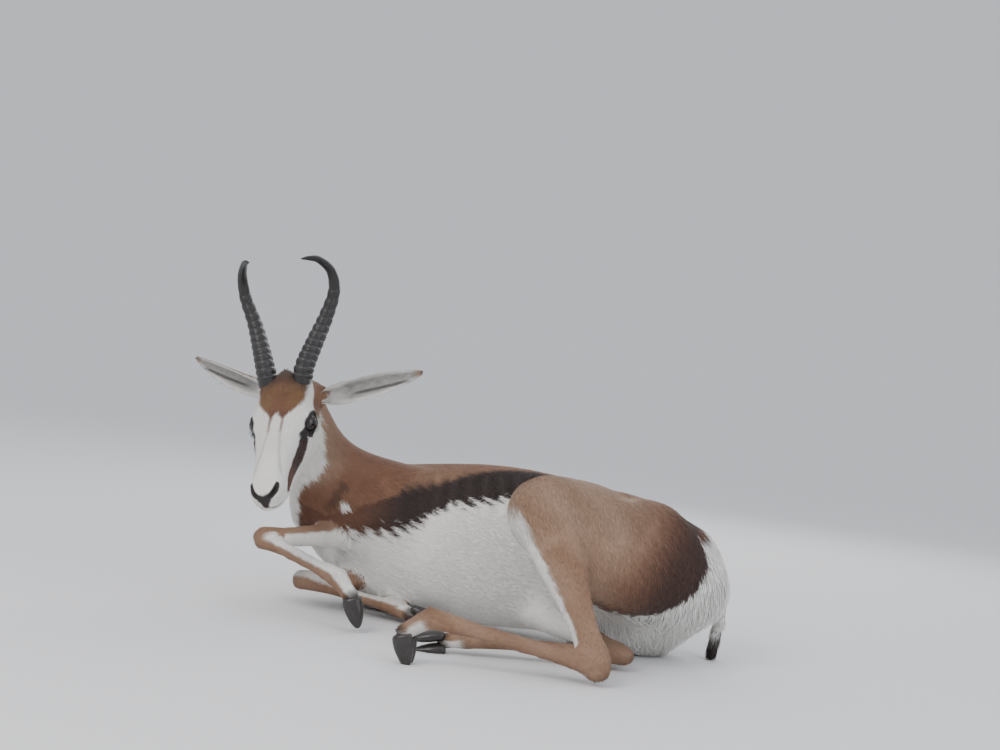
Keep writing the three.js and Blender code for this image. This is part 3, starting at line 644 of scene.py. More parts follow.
def smoothed(points, edges, passes, share=None):
    """Moves each point towards the mean of its neighbours, passes times, by its share."""
    points = points.copy()
    count = np.bincount(edges.ravel(), minlength=len(points))[:, None]
    weight = 0.5 if share is None else 0.5 * share[:, None]
    for _ in range(passes):
        total = np.zeros_like(points)
        for axis in range(points.shape[1]):
            total[:, axis] = np.bincount(edges[:, 0], points[edges[:, 1], axis], len(points))
            total[:, axis] += np.bincount(edges[:, 1], points[edges[:, 0], axis], len(points))
        points += weight * (total / np.maximum(count, 1) - points)
    return points


def subdivided(obj, chosen):
    """Cuts the chosen faces once across each edge."""
    only(obj)
    obj.data.polygons.foreach_set("select", chosen.astype(bool))
    flags = np.zeros(len(obj.data.vertices), bool)
    corners = read(obj.data.loops, "vertex_index", 1, np.int32)
    totals = read(obj.data.polygons, "loop_total", 1, np.int32)
    flags[corners[np.repeat(chosen, totals)]] = True
    obj.data.vertices.foreach_set("select", flags)
    obj.data.edges.foreach_set("select", flags[edges_of(obj.data)].all(axis=1))
    bpy.ops.object.mode_set(mode="EDIT")
    bpy.ops.mesh.select_mode(type="FACE")
    bpy.ops.mesh.subdivide(number_cuts=1, smoothness=0, ngon=False)
    bpy.ops.object.mode_set(mode="OBJECT")


def face_centres(mesh):
    return read(mesh.polygons, "center", 3)


def strokes(points, normals, table):
    """Raises the skin along soft brush strokes: [(path, width, height), ...], in the points' own units."""
    moved = np.zeros(len(points))
    for path, width, height in table:
        low, high = np.min(path, axis=0) - 3 * width, np.max(path, axis=0) + 3 * width
        near = np.all((points > low) & (points < high), axis=1)
        if near.any():
            distance = path_distance(points[near], np.array(path, float))
            moved[near] += height * np.exp(-((distance / width) ** 2))
    return normals * moved[:, None]


# Brush strokes on each side of the head: path, width and height in millimetres in the head's frame
FACE_STROKES = [
    ([(100, 40, -26), (122, 37, -33), (142, 34, -38)], 4.5, -1.6),
    ([(92, 45, -48), (120, 40, -52), (150, 32, -52)], 7, 1.8),
    ([(60, 45, -46), (36, 46, -50)], 8, 1.4),
    ([(28, 43, -24), (46, 44, -20)], 9, -2.2),
    ([(110, 15, 2), (160, 14, -3), (205, 12, -7)], 6, 0.8),
    ([(134, 36, -72), (98, 40, -84), (60, 42, -90)], 9, 1.6),
    ([(150, 31, -66), (182, 27, -62)], 8, -1.4),
    ([(150, 31, -34), (194, 27, -32)], 8, -0.8),
    ([(236, 20, -28), (222, 24.5, -30)], 5, 1.2),
    (NOSTRIL, 5.5, 1.5),
    (NOSTRIL, 2.5, -7.5),
    ([(249, 0, -22), (247, 0, -38)], 1.8, -1.8),
    ([(246, 6, -38), (238, 14, -42), (222, 21, -48), (202, 24, -51)], 3.4, 1.0),
    (MOUTH, 1.5, -3.4),
    ([(243, 0, -50), (236, 10, -52), (220, 18, -59), (202, 21, -63)], 3.2, 1.1),
]
# The same on the body, in millimetres in the body's frame
BODY_STROKES = [
    ([(-250, 118, 150), (-206, 86, 168), (-160, 78, 190)], 15, -3.0),
    ([(-178, 128, 222), (-150, 116, 190), (-140, 100, 150)], 12, -3.0),
    ([(-212, 118, 205), (-196, 104, 178), (-180, 94, 158)], 14, 2.6),
    ([(60, 20, 250), (52, -60, 236), (48, -100, 200)], 12, -2.5),
    ([(228, -18, 252), (200, -60, 240), (150, -128, 214), (120, -150, 190)], 15, -2.6),
    ([(262, -48, 222), (244, -96, 190), (214, -132, 152)], 14, -2.4),
    ([(236, 22, 262), (220, 4, 262)], 13, 3.0),
    ([(150, -192, 152), (170, -224, 96), (180, -246, 56)], 7, -2.6),
    ([(140, -180, 160), (158, -214, 100), (174, -244, 52)], 6, 1.6),
    ([(168, -282, 38), (100, -290, 46), (0, -290, 60), (-46, -290, 68)], 3.2, -2.0),
    ([(-330, 76, 118), (-290, 34, 108), (-228, -34, 90)], 3.2, -1.8),
    ([(-344, 78, 116), (-320, 66, 128), (-250, 78, 142)], 6, -1.2),
    ([(-20, 60, 262), (20, 70, 262)], 12, -1.0),
]


def ribs():
    """Faint hollows between the ribs, along the side of the chest."""
    table = []
    for x in range(-118, 45, 27):
        y, z, deep, wide, roll = trunk_at(x)
        line = []
        for angle in (70, 88, 106):
            leant = x + 0.25 * (angle - 70)
            back, left = deep * math.cos(math.radians(angle)), wide * math.sin(math.radians(angle))
            point_y = y + back * math.sin(roll) - left * math.cos(roll)
            point_z = z + back * math.cos(roll) + left * math.sin(roll)
            line.append((leant, point_y, point_z))
        table.append((line, 9, -1.0))
    return table


def both_sides(table):
    """Face strokes for the left and the right half."""
    return table + [([(x, -y, z) for x, y, z in path], width, height) for path, width, height in table]


def eye_frame(side):
    """The eye's centre in metres, and its axes: towards the nose, up, and out."""
    centre = EYE_LEFT if side > 0 else EYE_RIGHT
    out = (EYE_OUT * np.array((1, side, 1))) @ HEAD_AXES
    long = unit(np.array((1, 0, -0.08)) @ HEAD_AXES)
    long = unit(long - out * (long @ out))
    tall = np.cross(out, long) * side
    return centre, long, tall, out


def opening(angle):
    """Half sizes of the eye's opening at an angle round it, in metres, as (along, up)."""
    height = np.where(np.sin(angle) > 0, UPPER_LID, LOWER_LID)
    rise = height * np.sin(angle) * np.abs(np.sin(angle)) ** 0.35
    return np.column_stack([OPENING_HALF * np.cos(angle), rise]) * MM


def in_eye(points, side):
    """Places about an eye: across and up in shares of the opening, and the true offsets."""
    centre, long, tall, out = eye_frame(side)
    off = points - centre
    a, b, c = off @ long, off @ tall, off @ out
    high = np.where(b > 0, UPPER_LID, LOWER_LID) * MM
    share = np.sqrt((a / (OPENING_HALF * MM)) ** 2 + (np.abs(b) / high) ** 2)
    return share, off, c


# [size as a share of the opening, distance from the eye's centre in mm, share of the skin below]
LID_RINGS = [
    (0.90, 16.1, 0),
    (0.97, 16.8, 0),
    (1.0, 17.5, 0),
    (1.03, 18.2, 0),
    (1.08, 18.75, 0),
    (1.16, 18.95, 0.02),
    (1.26, 18.7, 0.08),
    (1.38, 18.1, 0.22),
    (1.50, 18.5, 0.45),
    (1.66, 18.9, 0.72),
    (1.85, 18.9, 0.92),
    (2.05, 18.9, 1.0),
    (2.25, 18.9, 1.0),
]


def lid_patch(tree, side, name):
    """The lids of one eye: rings from inside the opening, over the lid's edge, out to the skin."""
    centre, long, tall, out = eye_frame(side)
    count = 56
    rim = opening(np.linspace(0, 2 * math.pi, count, endpoint=False))
    points = []
    for size, radius, share in LID_RINGS:
        flat = rim * size
        reach = np.hypot(flat[:, 0], flat[:, 1])
        height = np.sqrt(np.maximum((radius * MM) ** 2 - reach**2, (5.5 * MM) ** 2))
        sink = 0.0008 * float(step(1.9, 2.25, size))
        for (a, b), own in zip(flat, height):
            place = centre + long * a + tall * b
            hit = tree.ray_cast(Vector(place + out * 0.06), Vector(-out))[0]
            below = own if hit is None else (np.array(hit) - centre) @ out + 0.0002
            points.append(place + out * (own + (below - own) * share - sink))
    faces = tube_faces(len(LID_RINGS), count)
    return built(name, points, [face[::-side] for face in faces])


def ear_cup(name):
    """An ear: a long thin cup, closest round its root, which is sunk in the head."""
    root, way, cup, low = ear_axes(name)
    stations, half = 44, 13
    step_round = np.arange(-half, half + 1) / half
    rings = []
    for share in np.linspace(-0.09, 1, stations):
        s = max(share, 0)
        wide = EAR_HALF_WIDTH * math.sin(math.pi * (0.2 + 0.8 * s)) ** 0.8 * (1 - 0.2 * s) + 2.5
        curl = mix(1.9, 0.7, s**0.6)
        radius = wide / max(0.8 * curl, 0.6)
        centre = root + way * (share * EAR_LENGTH) + cup * (7 * math.sin(math.pi * s))
        for shell in (1, -1):
            angle = shell * step_round * curl
            reach = radius + shell * mix(5.6, 2.6, s) * (1 - 0.85 * step_round**4) / 2
            across, deep = reach * np.sin(angle), radius - reach * np.cos(angle)
            rings.append(centre + across[:, None] * low + deep[:, None] * cup)
    points = np.concatenate(rings)
    count = 2 * len(step_round)
    ends = [tuple(range(count))[::-1], tuple(range(len(points) - count, len(points)))]
    ear = built(name, from_head(points), tube_faces(stations, count) + ends)
    outward(ear.data)
    return ear


TAIL_RADII = np.linspace(15.5, 9, 16)
JOINT_RADII = (13.5, 13.5, 12.5)  # knee or hock, fetlock, coronet


def melted_flesh():
    """The soft parts melted into one closed form, filled out at the eyes, ears, joints and tail."""
    whole = ("head", "neck", "torso", "hindleg_left_thigh", *LIMBS)
    tail = from_body(resampled(TAIL_LINE, len(TAIL_RADII)))
    flesh = [copy_of(name, f"{name} flesh") for name in whole]
    flesh += [thick_core("rump"), balls("tail core", zip(tail, TAIL_RADII))]
    fills = [(centre, EYE_RADIUS + 1.5) for centre in (EYE_LEFT, EYE_RIGHT)]
    fills += [(from_head(root), 14) for root, _, _ in EARS.values()]
    for _, *joints in LEGS.values():
        fills += zip(from_body(joints), JOINT_RADII)
    flesh.append(balls("fills", fills))
    skin = joined(flesh, "skin")
    modified(skin, "REMESH", mode="VOXEL", voxel_size=sizes().voxel)
    return skin


def shape_skin(mesh, find):
    """Smooths the skin, most on the broad forms, and lays it in by the coat's depth."""
    points, edges = places(mesh), edges_of(mesh)
    broad = among(find(points), *BROAD).astype(float)
    broad = smoothed(broad[:, None], edges, 8)[:, 0]
    points = smoothed(points, edges, 4)
    write(mesh, smoothed(points, edges, 36, broad))
    depth = mix(0.0003, sizes().coat_depth * 0.4, broad)
    write(mesh, places(mesh) - normals_of(mesh) * depth[:, None])


def refine_skin(skin, find):
    """Finer faces on the head and legs, the finest at the eyes and muzzle, then the brush strokes."""
    mesh = skin.data
    subdivided(skin, among(find(face_centres(mesh)), *FINE))
    centres = face_centres(mesh)
    head = to_head(centres)
    close = (head[:, 0] > 172) & (head[:, 0] < 290) & (np.abs(head[:, 1]) < 60) & (np.abs(head[:, 2]) < 90)
    for eye in (EYE_LEFT, EYE_RIGHT):
        close |= np.linalg.norm(centres - eye, axis=1) < 0.040
    subdivided(skin, close)
    points = places(mesh)
    node = find(points)
    write(mesh, smoothed(points, edges_of(mesh), 5, among(node, *FINE).astype(float)))
    points, normals = places(mesh), normals_of(mesh)
    on_head = among(node, "head")[:, None]
    moved = strokes(to_head(points), normals, both_sides(FACE_STROKES)) * on_head
    moved = moved + strokes(to_body(points), normals, BODY_STROKES + ribs()) * ~on_head
    write(mesh, points + moved * MM)


def open_lids(mesh):
    """Lids as pieces of their own, with the skin drawn in under them, and which of its points they hide."""
    points = places(mesh)
    tree = BVHTree.FromPolygons(points.tolist(), [list(p.vertices) for p in mesh.polygons])
    lids = []
    hidden = np.zeros(len(points), bool)
    for side, name in ((1, "lids left"), (-1, "lids right")):
        centre, _, _, out = eye_frame(side)
        lids.append(lid_patch(tree, side, name))
        share, off, height = in_eye(points, side)
        near = (height > 0) & (np.linalg.norm(off, axis=1) < 0.045)
        inner = near & (share < 1.45)
        hidden |= near & (share < 1.95)
        points = np.where(inner[:, None], centre + unit(off) * 0.0125, points)
        under = np.where(near & ~inner, 0.0016 * step(2.2, 1.6, share), 0)
        points = points - out * under[:, None]
    write(mesh, lifted(points, 0.0004))
    return lids, hidden


def make_skin():
    """One skin over head, neck, trunk and legs, with its lids and ears."""
    find = node_finder()
    skin = melted_flesh()
    shape_skin(skin.data, find)
    refine_skin(skin, find)
    lids, hidden = open_lids(skin.data)
    skin = joined([skin, *lids, *(ear_cup(name) for name in EARS)], "skin")
    mesh = skin.data
    smooth_shaded(mesh)
    points = places(mesh)
    node = find(points).astype(np.int32)
    colour_attribute(mesh, coat_colour(points, normals_of(mesh), node))
    node[: len(hidden)][hidden] = -1  # no hair grows there
    mesh.attributes.new("node", "INT", "POINT").data.foreach_set("value", node)
    unwrap(skin)
    return skin


def resampled(line, count):
    """So many points along a line of points, spread evenly over its stretches."""
    share = np.linspace(0, len(line) - 1, count)
    return np.column_stack([np.interp(share, np.arange(len(line)), line[:, k]) for k in range(3)])


def unwrap(obj):
    """An unwrap of the skin's own shape, on which each tuft's patch has its place."""
    only(obj)
    obj.data.uv_layers.new(name="OFBake")
    bpy.ops.object.mode_set(mode="EDIT")
    bpy.ops.mesh.select_all(action="SELECT")
    bpy.ops.uv.smart_project(angle_limit=math.radians(75), island_margin=0.001)
    bpy.ops.object.mode_set(mode="OBJECT")


# The lie of the coat


def lie_field(points, normals, node, edges):
    """The way the hair runs at each vertex, along the surface."""
    body, head = to_body(points), to_head(points)
    angle = np.radians(trunk_angle(body))
    down = np.column_stack([0 * angle, -0.1 * np.sign(angle), -np.abs(np.sin(angle))])
    way = np.array((1.0, -0.28, 0.0)) + 0.45 * down
    face = np.array((-1.0, 0, 0.1)) + head * (0, 0.012, 0)
    steps = np.diff(TAIL_LINE, axis=0)
    nearest = np.argmin([segment_distance(body, a, b)[0] for a, b in zip(TAIL_LINE, TAIL_LINE[1:])], axis=0)
    ways = {
        "head": face @ HEAD_AXES,
        "neck": unit(NECK[2] - NECK[0]),
        "hindleg_left_thigh": (0.42, -0.42, -0.8),
        "rump": (0.35, -0.12, -0.93),
        "tail": unit(steps[nearest]),
    }
    for leg, joints in LEGS.items():
        top, middle, fetlock, _ = np.array(joints, float)
        ways[f"{leg}_{LEG_TOP[leg]}"] = unit(middle - top)
        ways[f"{leg}_cannon"] = unit(fetlock - middle)
    for name in EARS:
        ways[name] = ear_axes(name)[1] @ HEAD_AXES
    for name, own in ways.items():
        way = np.where(among(node, name)[:, None], own, way)
    way = smoothed(unit(way), edges, 14)
    return unit(way - normals * np.sum(way * normals, axis=1)[:, None])


class Spots(NamedTuple):
    """Places on the skin where tufts stand."""

    root: np.ndarray
    normal: np.ndarray
    way: np.ndarray
    uv: np.ndarray
    node: np.ndarray
    face: np.ndarray


class Ground:
    """The skin as triangles, from which tufts grow."""

    def __init__(self, skin):
        mesh = skin.data
        mesh.calc_loop_triangles()
        self.points, self.normals = places(mesh), normals_of(mesh)
        self.node = read(mesh.attributes["node"].data, "value", 1, np.int32)
        self.triangles = read(mesh.loop_triangles, "vertices", 3, np.int32)
        self.corners = read(mesh.loop_triangles, "loops", 3, np.int32)
        self.uv = read(mesh.uv_layers["OFBake"].uv, "vector", 2).astype(float)
        self.way = lie_field(self.points, self.normals, self.node, edges_of(mesh))
        a, b, c = (self.points[self.triangles[:, k]] for k in range(3))
        self.area = np.linalg.norm(np.cross(b - a, c - a), axis=1) / 2
        self.centres = (a + b + c) / 3
        self.owner = self.node[self.triangles].min(axis=1)

    def spots(self, weight, count, chance):
        """Even spots on the skin, as many as count, shared out by weight for each square metre."""
        share = np.cumsum(self.area * weight)
        even = (np.arange(count) + chance.random(count)) / count
        chosen = np.minimum(np.searchsorted(share, even * share[-1]), len(share) - 1)
        u, v = chance.random(count), chance.random(count)
        u, v = np.where(u + v > 1, 1 - u, u), np.where(u + v > 1, 1 - v, v)
        corner = np.stack([1 - u - v, u, v], axis=1)[:, :, None]
        index = self.triangles[chosen]
        root = np.sum(self.points[index] * corner, axis=1)
        normal = unit(np.sum(self.normals[index] * corner, axis=1))
        way = np.sum(self.way[index] * corner, axis=1)
        way = unit(way - normal * np.sum(way * normal, axis=1)[:, None])
        uv = np.sum(self.uv[self.corners[chosen]] * corner, axis=1)
        return Spots(root, normal, way, uv, self.owner[chosen], chosen)


# One tuft: [share of the length, share of the width, share of the lift] of its rings, then its tip
HAIR_RINGS = ((-0.06, 1.0, 0.0),)
LOCK_RINGS = ((-0.06, 0.8, -0.1), (0.35, 1.0, 0.75), (0.72, 0.65, 0.95))
RING_CORNERS = ((0.5, 0.0), (-0.5, 0.0), (0.0, 0.35))  # [across, out] in shares of the width
PATCH = 0.003
SOFTNESS = 0.55  # how much of a tuft's shading comes from the skin below it
SPREAD = 0.14  # how much a tuft's tint differs from the next one's


def tuft_faces(rings):
    """The faces of a three-sided tuft with so many rings."""
    faces = [(0, 1, 2)]
    faces += [(b, a, d, c) for a, b, c, d in tube_faces(rings, 3)]
    base, tip = 3 * (rings - 1), 3 * rings
    return faces + [(base + (k + 1) % 3, base + k, tip) for k in range(3)]


def tufts(name, spots, length, width, lift, curl, tint, rings=HAIR_RINGS):
    """Closed three-sided tufts as one mesh: each bends over and ends in a point."""
    root, normal, way = spots.root, spots.normal, spots.way
    side = np.cross(normal, way)
    count = len(root)
    per = 3 * len(rings) + 1
    verts = np.empty((count, per, 3))
    flat = np.empty((per, 2))
    for ring, (along, wide, rise) in enumerate(rings):
        bend = curl * max(along, 0) ** 2
        centre = root + way * (length * along)[:, None] + normal * (length * lift * rise)[:, None]
        centre = centre + side * (length * bend)[:, None] - normal * 0.0004 * (ring == 0)
        for k, (across, up) in enumerate(RING_CORNERS):
            offset = side * across + normal * up
            verts[:, 3 * ring + k] = centre + offset * (width * wide)[:, None]
            flat[3 * ring + k] = (across, along - 0.5)
    verts[:, -1] = root + (way + normal * (lift * 0.75)[:, None] + side * curl[:, None]) * length[:, None]
    flat[-1] = (0.0, 0.5)
    verts[:, :, 2] = np.maximum(verts[:, :, 2], 0.0005 + 0.0005 * (flat[:, 0] == 0))
    faces = tuft_faces(len(rings))
    loops = np.concatenate(faces)
    starts = np.cumsum([0] + [len(face) for face in faces[:-1]])
    mesh = bpy.data.meshes.new(name)
    mesh.vertices.add(count * per)
    mesh.vertices.foreach_set("co", verts.astype(np.float32).ravel())
    mesh.loops.add(count * len(loops))
    every = (np.arange(count)[:, None] * per + loops).ravel()
    mesh.loops.foreach_set("vertex_index", every.astype(np.int32))
    mesh.polygons.add(count * len(faces))
    first = (np.arange(count)[:, None] * len(loops) + starts).ravel()
    mesh.polygons.foreach_set("loop_start", first.astype(np.int32))
    smooth_shaded(mesh)
    mesh.update(calc_edges=True)
    soft = mix(normals_of(mesh), np.repeat(normal, per, axis=0), SOFTNESS)
    mesh.normals_split_custom_set_from_vertices(unit(soft))
    # painted shade and light: each tuft is darker at its root, where the hairs shade one another, and a
    # little lighter at its tip
    shade = (0.93 + 0.12 * (flat[:, 1] + 0.5))[:, None]
    colour_attribute(mesh, np.clip(tint[:, None] * shade, 0, 1).reshape(-1, 3))
    layer = mesh.uv_layers.new(name="OFBake")
    patches = spots.uv[:, None] + PATCH * flat[loops]
    layer.uv.foreach_set("vector", patches.astype(np.float32).ravel())
    return placed(name, mesh)


def tinted(spots, chance):
    """The markings at each root, a little unlike from tuft to tuft."""
    tint = coat_colour(spots.root, spots.normal, spots.node)
    shade = 1 + SPREAD * (1.1 - np.max(tint, axis=1)) * chance.standard_normal(len(tint))
    return tint * np.clip(shade, 0.6, 1.5)[:, None]


def turned(spots, turn):
    """The same spots with their lie turned on the surface."""
    side = np.cross(spots.normal, spots.way)
    way = spots.way * np.cos(turn)[:, None] + side * np.sin(turn)[:, None]
    return spots._replace(way=way)


def clear_of_eyes(points, low, high):
    """0 within `low` times an eye's size from its middle, 1 beyond `high` times."""
    share = np.ones(len(points))
    for side in (1, -1):
        size, off, height = in_eye(points, side)
        near = (np.linalg.norm(off, axis=1) < 0.05) & (height > -0.004)
        share = np.where(near, np.minimum(share, step(low, high, size)), share)
    return share


def hair_plan(ground):
    """For each triangle of skin: how thick the tufts stand there, and their length, width and lift."""
    s = sizes()
    centres, owner = ground.centres, ground.owner
    body, head = to_body(centres), to_head(centres)
    folded = folded_over(head)
    every = np.ones(len(owner))
    dense, length, width, lift = (owner >= 0) * every, every * s.body_hair, every * 0.0014, every * 0.075
    belly = step(100, 125, np.abs(trunk_angle(body))) * among(owner, "torso")
    length = mix(length, s.body_hair * 1.35, belly)
    legs, on_head, ears = among(owner, *LIMBS), among(owner, "head"), among(owner, *EARS)
    dense = np.where(legs, 1.5, dense)
    length = np.where(legs, s.leg_hair, length)
    width = np.where(legs, 0.0011, width)
    # The head: finest on the muzzle, longer on the forehead, shortest at the lids, bare on the nose
    muzzle = step(110, 215, head[:, 0])
    dense = np.where(on_head, mix(2.6, 4.2, muzzle), dense)
    length = np.where(on_head, s.face_hair * mix(1.25, 0.62, muzzle), length)
    width = np.where(on_head, mix(0.00095, 0.0007, muzzle), width)
    lift = np.where(on_head, mix(0.12, 0.10, muzzle), lift)
    forehead = on_head * step(84, 50, head[:, 0]) * step(-22, -8, head[:, 2])
    length = mix(length, 0.010, forehead)
    lift = mix(lift, 0.16, forehead)
    dense = dense * clear_of_eyes(centres, 1.12, 1.3)
    length = np.where(on_head, length * mix(0.3, 1.0, clear_of_eyes(centres, 1.3, 2.4)), length)
    nose, lips = path_distance(folded, NOSTRIL), path_distance(folded, MOUTH)
    bare = np.maximum(np.maximum(step(8, 5, nose), step(2.6, 1.4, lips)), nose_pad(folded))
    dense = dense * (1 - on_head * bare)
    # The ears, with longer hair at their roots
    dense = np.where(ears, 2.4, dense)
    length = np.where(ears, 0.0062, length)
    for name in EARS:
        root, way, _, _ = ear_axes(name)
        length = np.where(among(owner, name), mix(length, 0.017, step(52, 12, (head - root) @ way)), length)
    width = np.where(ears, 0.0009, width)
    lift = np.where(ears, 0.10, lift)
    length = np.where(among(owner, "rump", "tail"), 0.017, length)
    return dense * (1 - 0.75 * step(0.012, 0.004, centres[:, 2])), length, width, lift


COAT_PIECE = 45000  # tufts in one piece
FRINGE_TUFTS = 12000
TAIL_TUFTS = 3200
LASHES = 46
COATS = {
    "coat_head": ["head"],
    "coat_ears": list(EARS),
    "coat_neck": ["neck"],
    "coat_torso": ["torso"],
    "coat_thigh": ["hindleg_left_thigh"],
    "coat_legs": LIMBS,
    "coat_rump": ["rump", "tail"],
}


def make_coat(ground):
    """The short coat, in pieces that follow one another from the head to the rump."""
    dense, length, width, lift = hair_plan(ground)
    fewer, wider = ((1, 1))
    total = sizes().tufts // fewer
    whole = np.sum(ground.area * dense)
    for seed, (name, nodes) in enumerate(COATS.items()):
        mine = dense * among(ground.owner, *nodes)
        count = int(total * np.sum(ground.area * mine) / whole)
        parts = max(1, math.ceil(count / COAT_PIECE))
        for part in range(parts):
            chance = np.random.default_rng(100 * seed + part + 11)
            spots = ground.spots(mine, count // parts, chance)
            face, many = spots.face, len(spots.face)
            spots = turned(spots, 0.16 * chance.standard_normal(many))
            obj = tufts(
                name if parts == 1 else f"{name}_{part + 1}",
                spots,
                length[face] * np.clip(1 + 0.2 * chance.standard_normal(many), 0.5, 1.6),
                width[face] * wider * (0.8 + 0.4 * chance.random(many)),
                lift[face] * (0.5 + chance.random(many)),
                0.08 * chance.standard_normal(many),
                tinted(spots, chance),
            )
            finished(obj, coat_material(), "fawn_coat")


def make_fringe(ground):
    """Longer white hair over the lower buttock and rump."""
    body, height = to_body(ground.centres), ground.centres[:, 2]
    x, z = body[:, 0], body[:, 2]
    back, up = on_buttock(body)
    edge = step(0.99, 1.06, np.sqrt(back**2 + up**2)) * step(0, 0.2, back - 0.8 * up)
    belly = among(ground.owner, "torso") & (x > 150) & (np.abs(trunk_angle(body)) > 120)
    rump = among(ground.owner, "rump") * step(-40, 30, x - 300 - (z - 120))
    weight = among(ground.owner, "hindleg_left_thigh") * edge * 1.2 + rump + 0.25 * belly
    weight = weight * step(0.006, 0.02, height) * step(0.19, 0.15, height)
    chance = np.random.default_rng(5)
    count, wider = ((FRINGE_TUFTS, 1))
    spots = ground.spots(weight, count, chance)
    fall = np.array((0.22, -0.10, -0.95)) + 0.10 * chance.standard_normal((count, 3))
    inward = np.sum(fall * spots.normal, axis=1)[:, None]
    way = unit(fall - spots.normal * inward * 0.92)
    length = sizes().fringe_hair * (0.55 + 0.6 * chance.random(count))
    length = np.minimum(length, (spots.root[:, 2] + 0.012) / np.maximum(-way[:, 2], 0.2))
    width = 0.0016 * (0.7 + 0.6 * chance.random(count)) * wider
    lift = 0.08 * chance.random(count) + 0.02
    curl = 0.08 * chance.standard_normal(count)
    white = colour("white") * (1 + 0.04 * chance.standard_normal(count))[:, None]
    obj = tufts("coat_fringe", spots._replace(way=way), length, width, lift, curl, white, LOCK_RINGS)
    finished(obj, coat_material(), "white_coat")


def make_tail_tuft(ground):
    """The dark tuft that ends the tail, and the longer white hair above it."""
    height = to_body(ground.centres)[:, 2]
    chance = np.random.default_rng(9)
    count = TAIL_TUFTS
    spots = ground.spots(among(ground.owner, "tail") * mix(0.6, 2.0, step(90, 40, height)), count, chance)
    low = step(80, 35, to_body(spots.root)[:, 2])
    spots = turned(spots, 0.10 * chance.standard_normal(count))
    hang = unit(spots.way + low[:, None] * np.array((-0.1, -0.2, -2.5)))
    length = mix(0.020, 0.034, low) * (0.7 + 0.5 * chance.random(count))
    width = 0.0013 * (0.7 + 0.6 * chance.random(count))
    lift = 0.03 + 0.05 * chance.random(count)
    curl = 0.06 * chance.standard_normal(count)
    tint = mix(colour("white"), colour("dark"), step(0.55, 0.8, low + 0.2 * chance.random(count)))
    obj = tufts("coat_tail_tuft", spots._replace(way=hang), length, width, lift, curl, tint, LOCK_RINGS)
    finished(obj, coat_material(), "white_coat")


# Materials


def group_of(name, inputs, outputs):
    """A node group with named sockets, and its input and output nodes."""
    group = bpy.data.node_groups.new(name, "ShaderNodeTree")
    for socket, kind, default in inputs:
        made = group.interface.new_socket(name=socket, in_out="INPUT", socket_type=kind)
        if default is not None:
            made.default_value = default
    for socket, kind in outputs:
        group.interface.new_socket(name=socket, in_out="OUTPUT", socket_type=kind)
    return group, group.nodes.new("NodeGroupInput"), group.nodes.new("NodeGroupOutput")


def unrest_group():
    """Varies a colour by two noises in object space, and gives a fine grain for the bump."""
    if "Unrest" in bpy.data.node_groups:
        return bpy.data.node_groups["Unrest"]
    group, given, result = group_of(
        "Unrest",
        [
            ("Colour", "NodeSocketColor", None),
            ("Scale", "NodeSocketFloat", 60.0),
            ("Amount", "NodeSocketFloat", 0.2),
            ("Grain scale", "NodeSocketFloat", 900.0),
        ],
        [("Colour", "NodeSocketColor"), ("Grain", "NodeSocketFloat")],
    )
    nodes, links = group.nodes, group.links
    place = nodes.new("ShaderNodeTexCoord")
    broad, fine = nodes.new("ShaderNodeTexNoise"), nodes.new("ShaderNodeTexNoise")
    for noise, socket in ((broad, "Scale"), (fine, "Grain scale")):
        noise.inputs["Detail"].default_value = 4
        links.new(place.outputs["Object"], noise.inputs["Vector"])
        links.new(given.outputs[socket], noise.inputs["Scale"])

    def maths(operation, first, second, third=0.0):
        """A maths node on links and numbers."""
        node = nodes.new("ShaderNodeMath")
        node.operation = operation
        for socket, value in zip(node.inputs, (first, second, third)):
            if isinstance(value, float):
                socket.default_value = value
            else:
                links.new(value, socket)
        return node.outputs[0]

    both = maths("ADD", broad.outputs["Fac"], fine.outputs["Fac"])
    centred = maths("SUBTRACT", both, 1.0)
    scaled = maths("MULTIPLY_ADD", centred, given.outputs["Amount"], 1.0)
    varied = nodes.new("ShaderNodeVectorMath")
    varied.operation = "SCALE"
    links.new(given.outputs["Colour"], varied.inputs[0])
    links.new(scaled, varied.inputs["Scale"])
    links.new(varied.outputs[0], result.inputs["Colour"])
    links.new(fine.outputs["Fac"], result.inputs["Grain"])
    return group


def surface(name, roughness, scale=60, amount=0.2, grain=900, bump=0.2, depth=0.0004, **settings):
    """A material that takes the piece's stored colours, varied and roughened by the shared group."""
    if name in bpy.data.materials:
        return bpy.data.materials[name]
    material = bpy.data.materials.new(name)
    material.use_nodes = True
    nodes, links = material.node_tree.nodes, material.node_tree.links
    shader = nodes["Principled BSDF"]
    shader.inputs["Roughness"].default_value = roughness
    for socket, value in settings.items():
        shader.inputs[socket.replace("_", " ")].default_value = value
    unrest = nodes.new("ShaderNodeGroup")
    unrest.node_tree = unrest_group()
    for socket, value in (("Scale", scale), ("Amount", amount), ("Grain scale", grain)):
        unrest.inputs[socket].default_value = value
    stored = nodes.new("ShaderNodeAttribute")
    stored.attribute_name = "coat"
    links.new(stored.outputs["Color"], unrest.inputs["Colour"])
    links.new(unrest.outputs["Colour"], shader.inputs["Base Color"])
    relief = nodes.new("ShaderNodeBump")
    relief.inputs["Strength"].default_value = bump
    relief.inputs["Distance"].default_value = depth
    links.new(unrest.outputs["Grain"], relief.inputs["Height"])
    links.new(relief.outputs["Normal"], shader.inputs["Normal"])
    return material


def coat_material():
    return surface("Coat", 0.72, scale=30, amount=0.16, grain=420, bump=0.10, Sheen_Weight=0.10)


def skin_material():
    return surface("Skin", 0.78, scale=30, amount=0.16, grain=700, bump=0.4, depth=0.0005)


# Eyes

# Colours of the eye, and the pupil's half sizes as shares of the eye's radius
IRIS = np.array((0.020, 0.010, 0.006))
IRIS_EDGE = np.array((0.006, 0.004, 0.004))
PUPIL = np.array((0.0015, 0.0015, 0.002))
PUPIL_HALF = (0.42, 0.17)


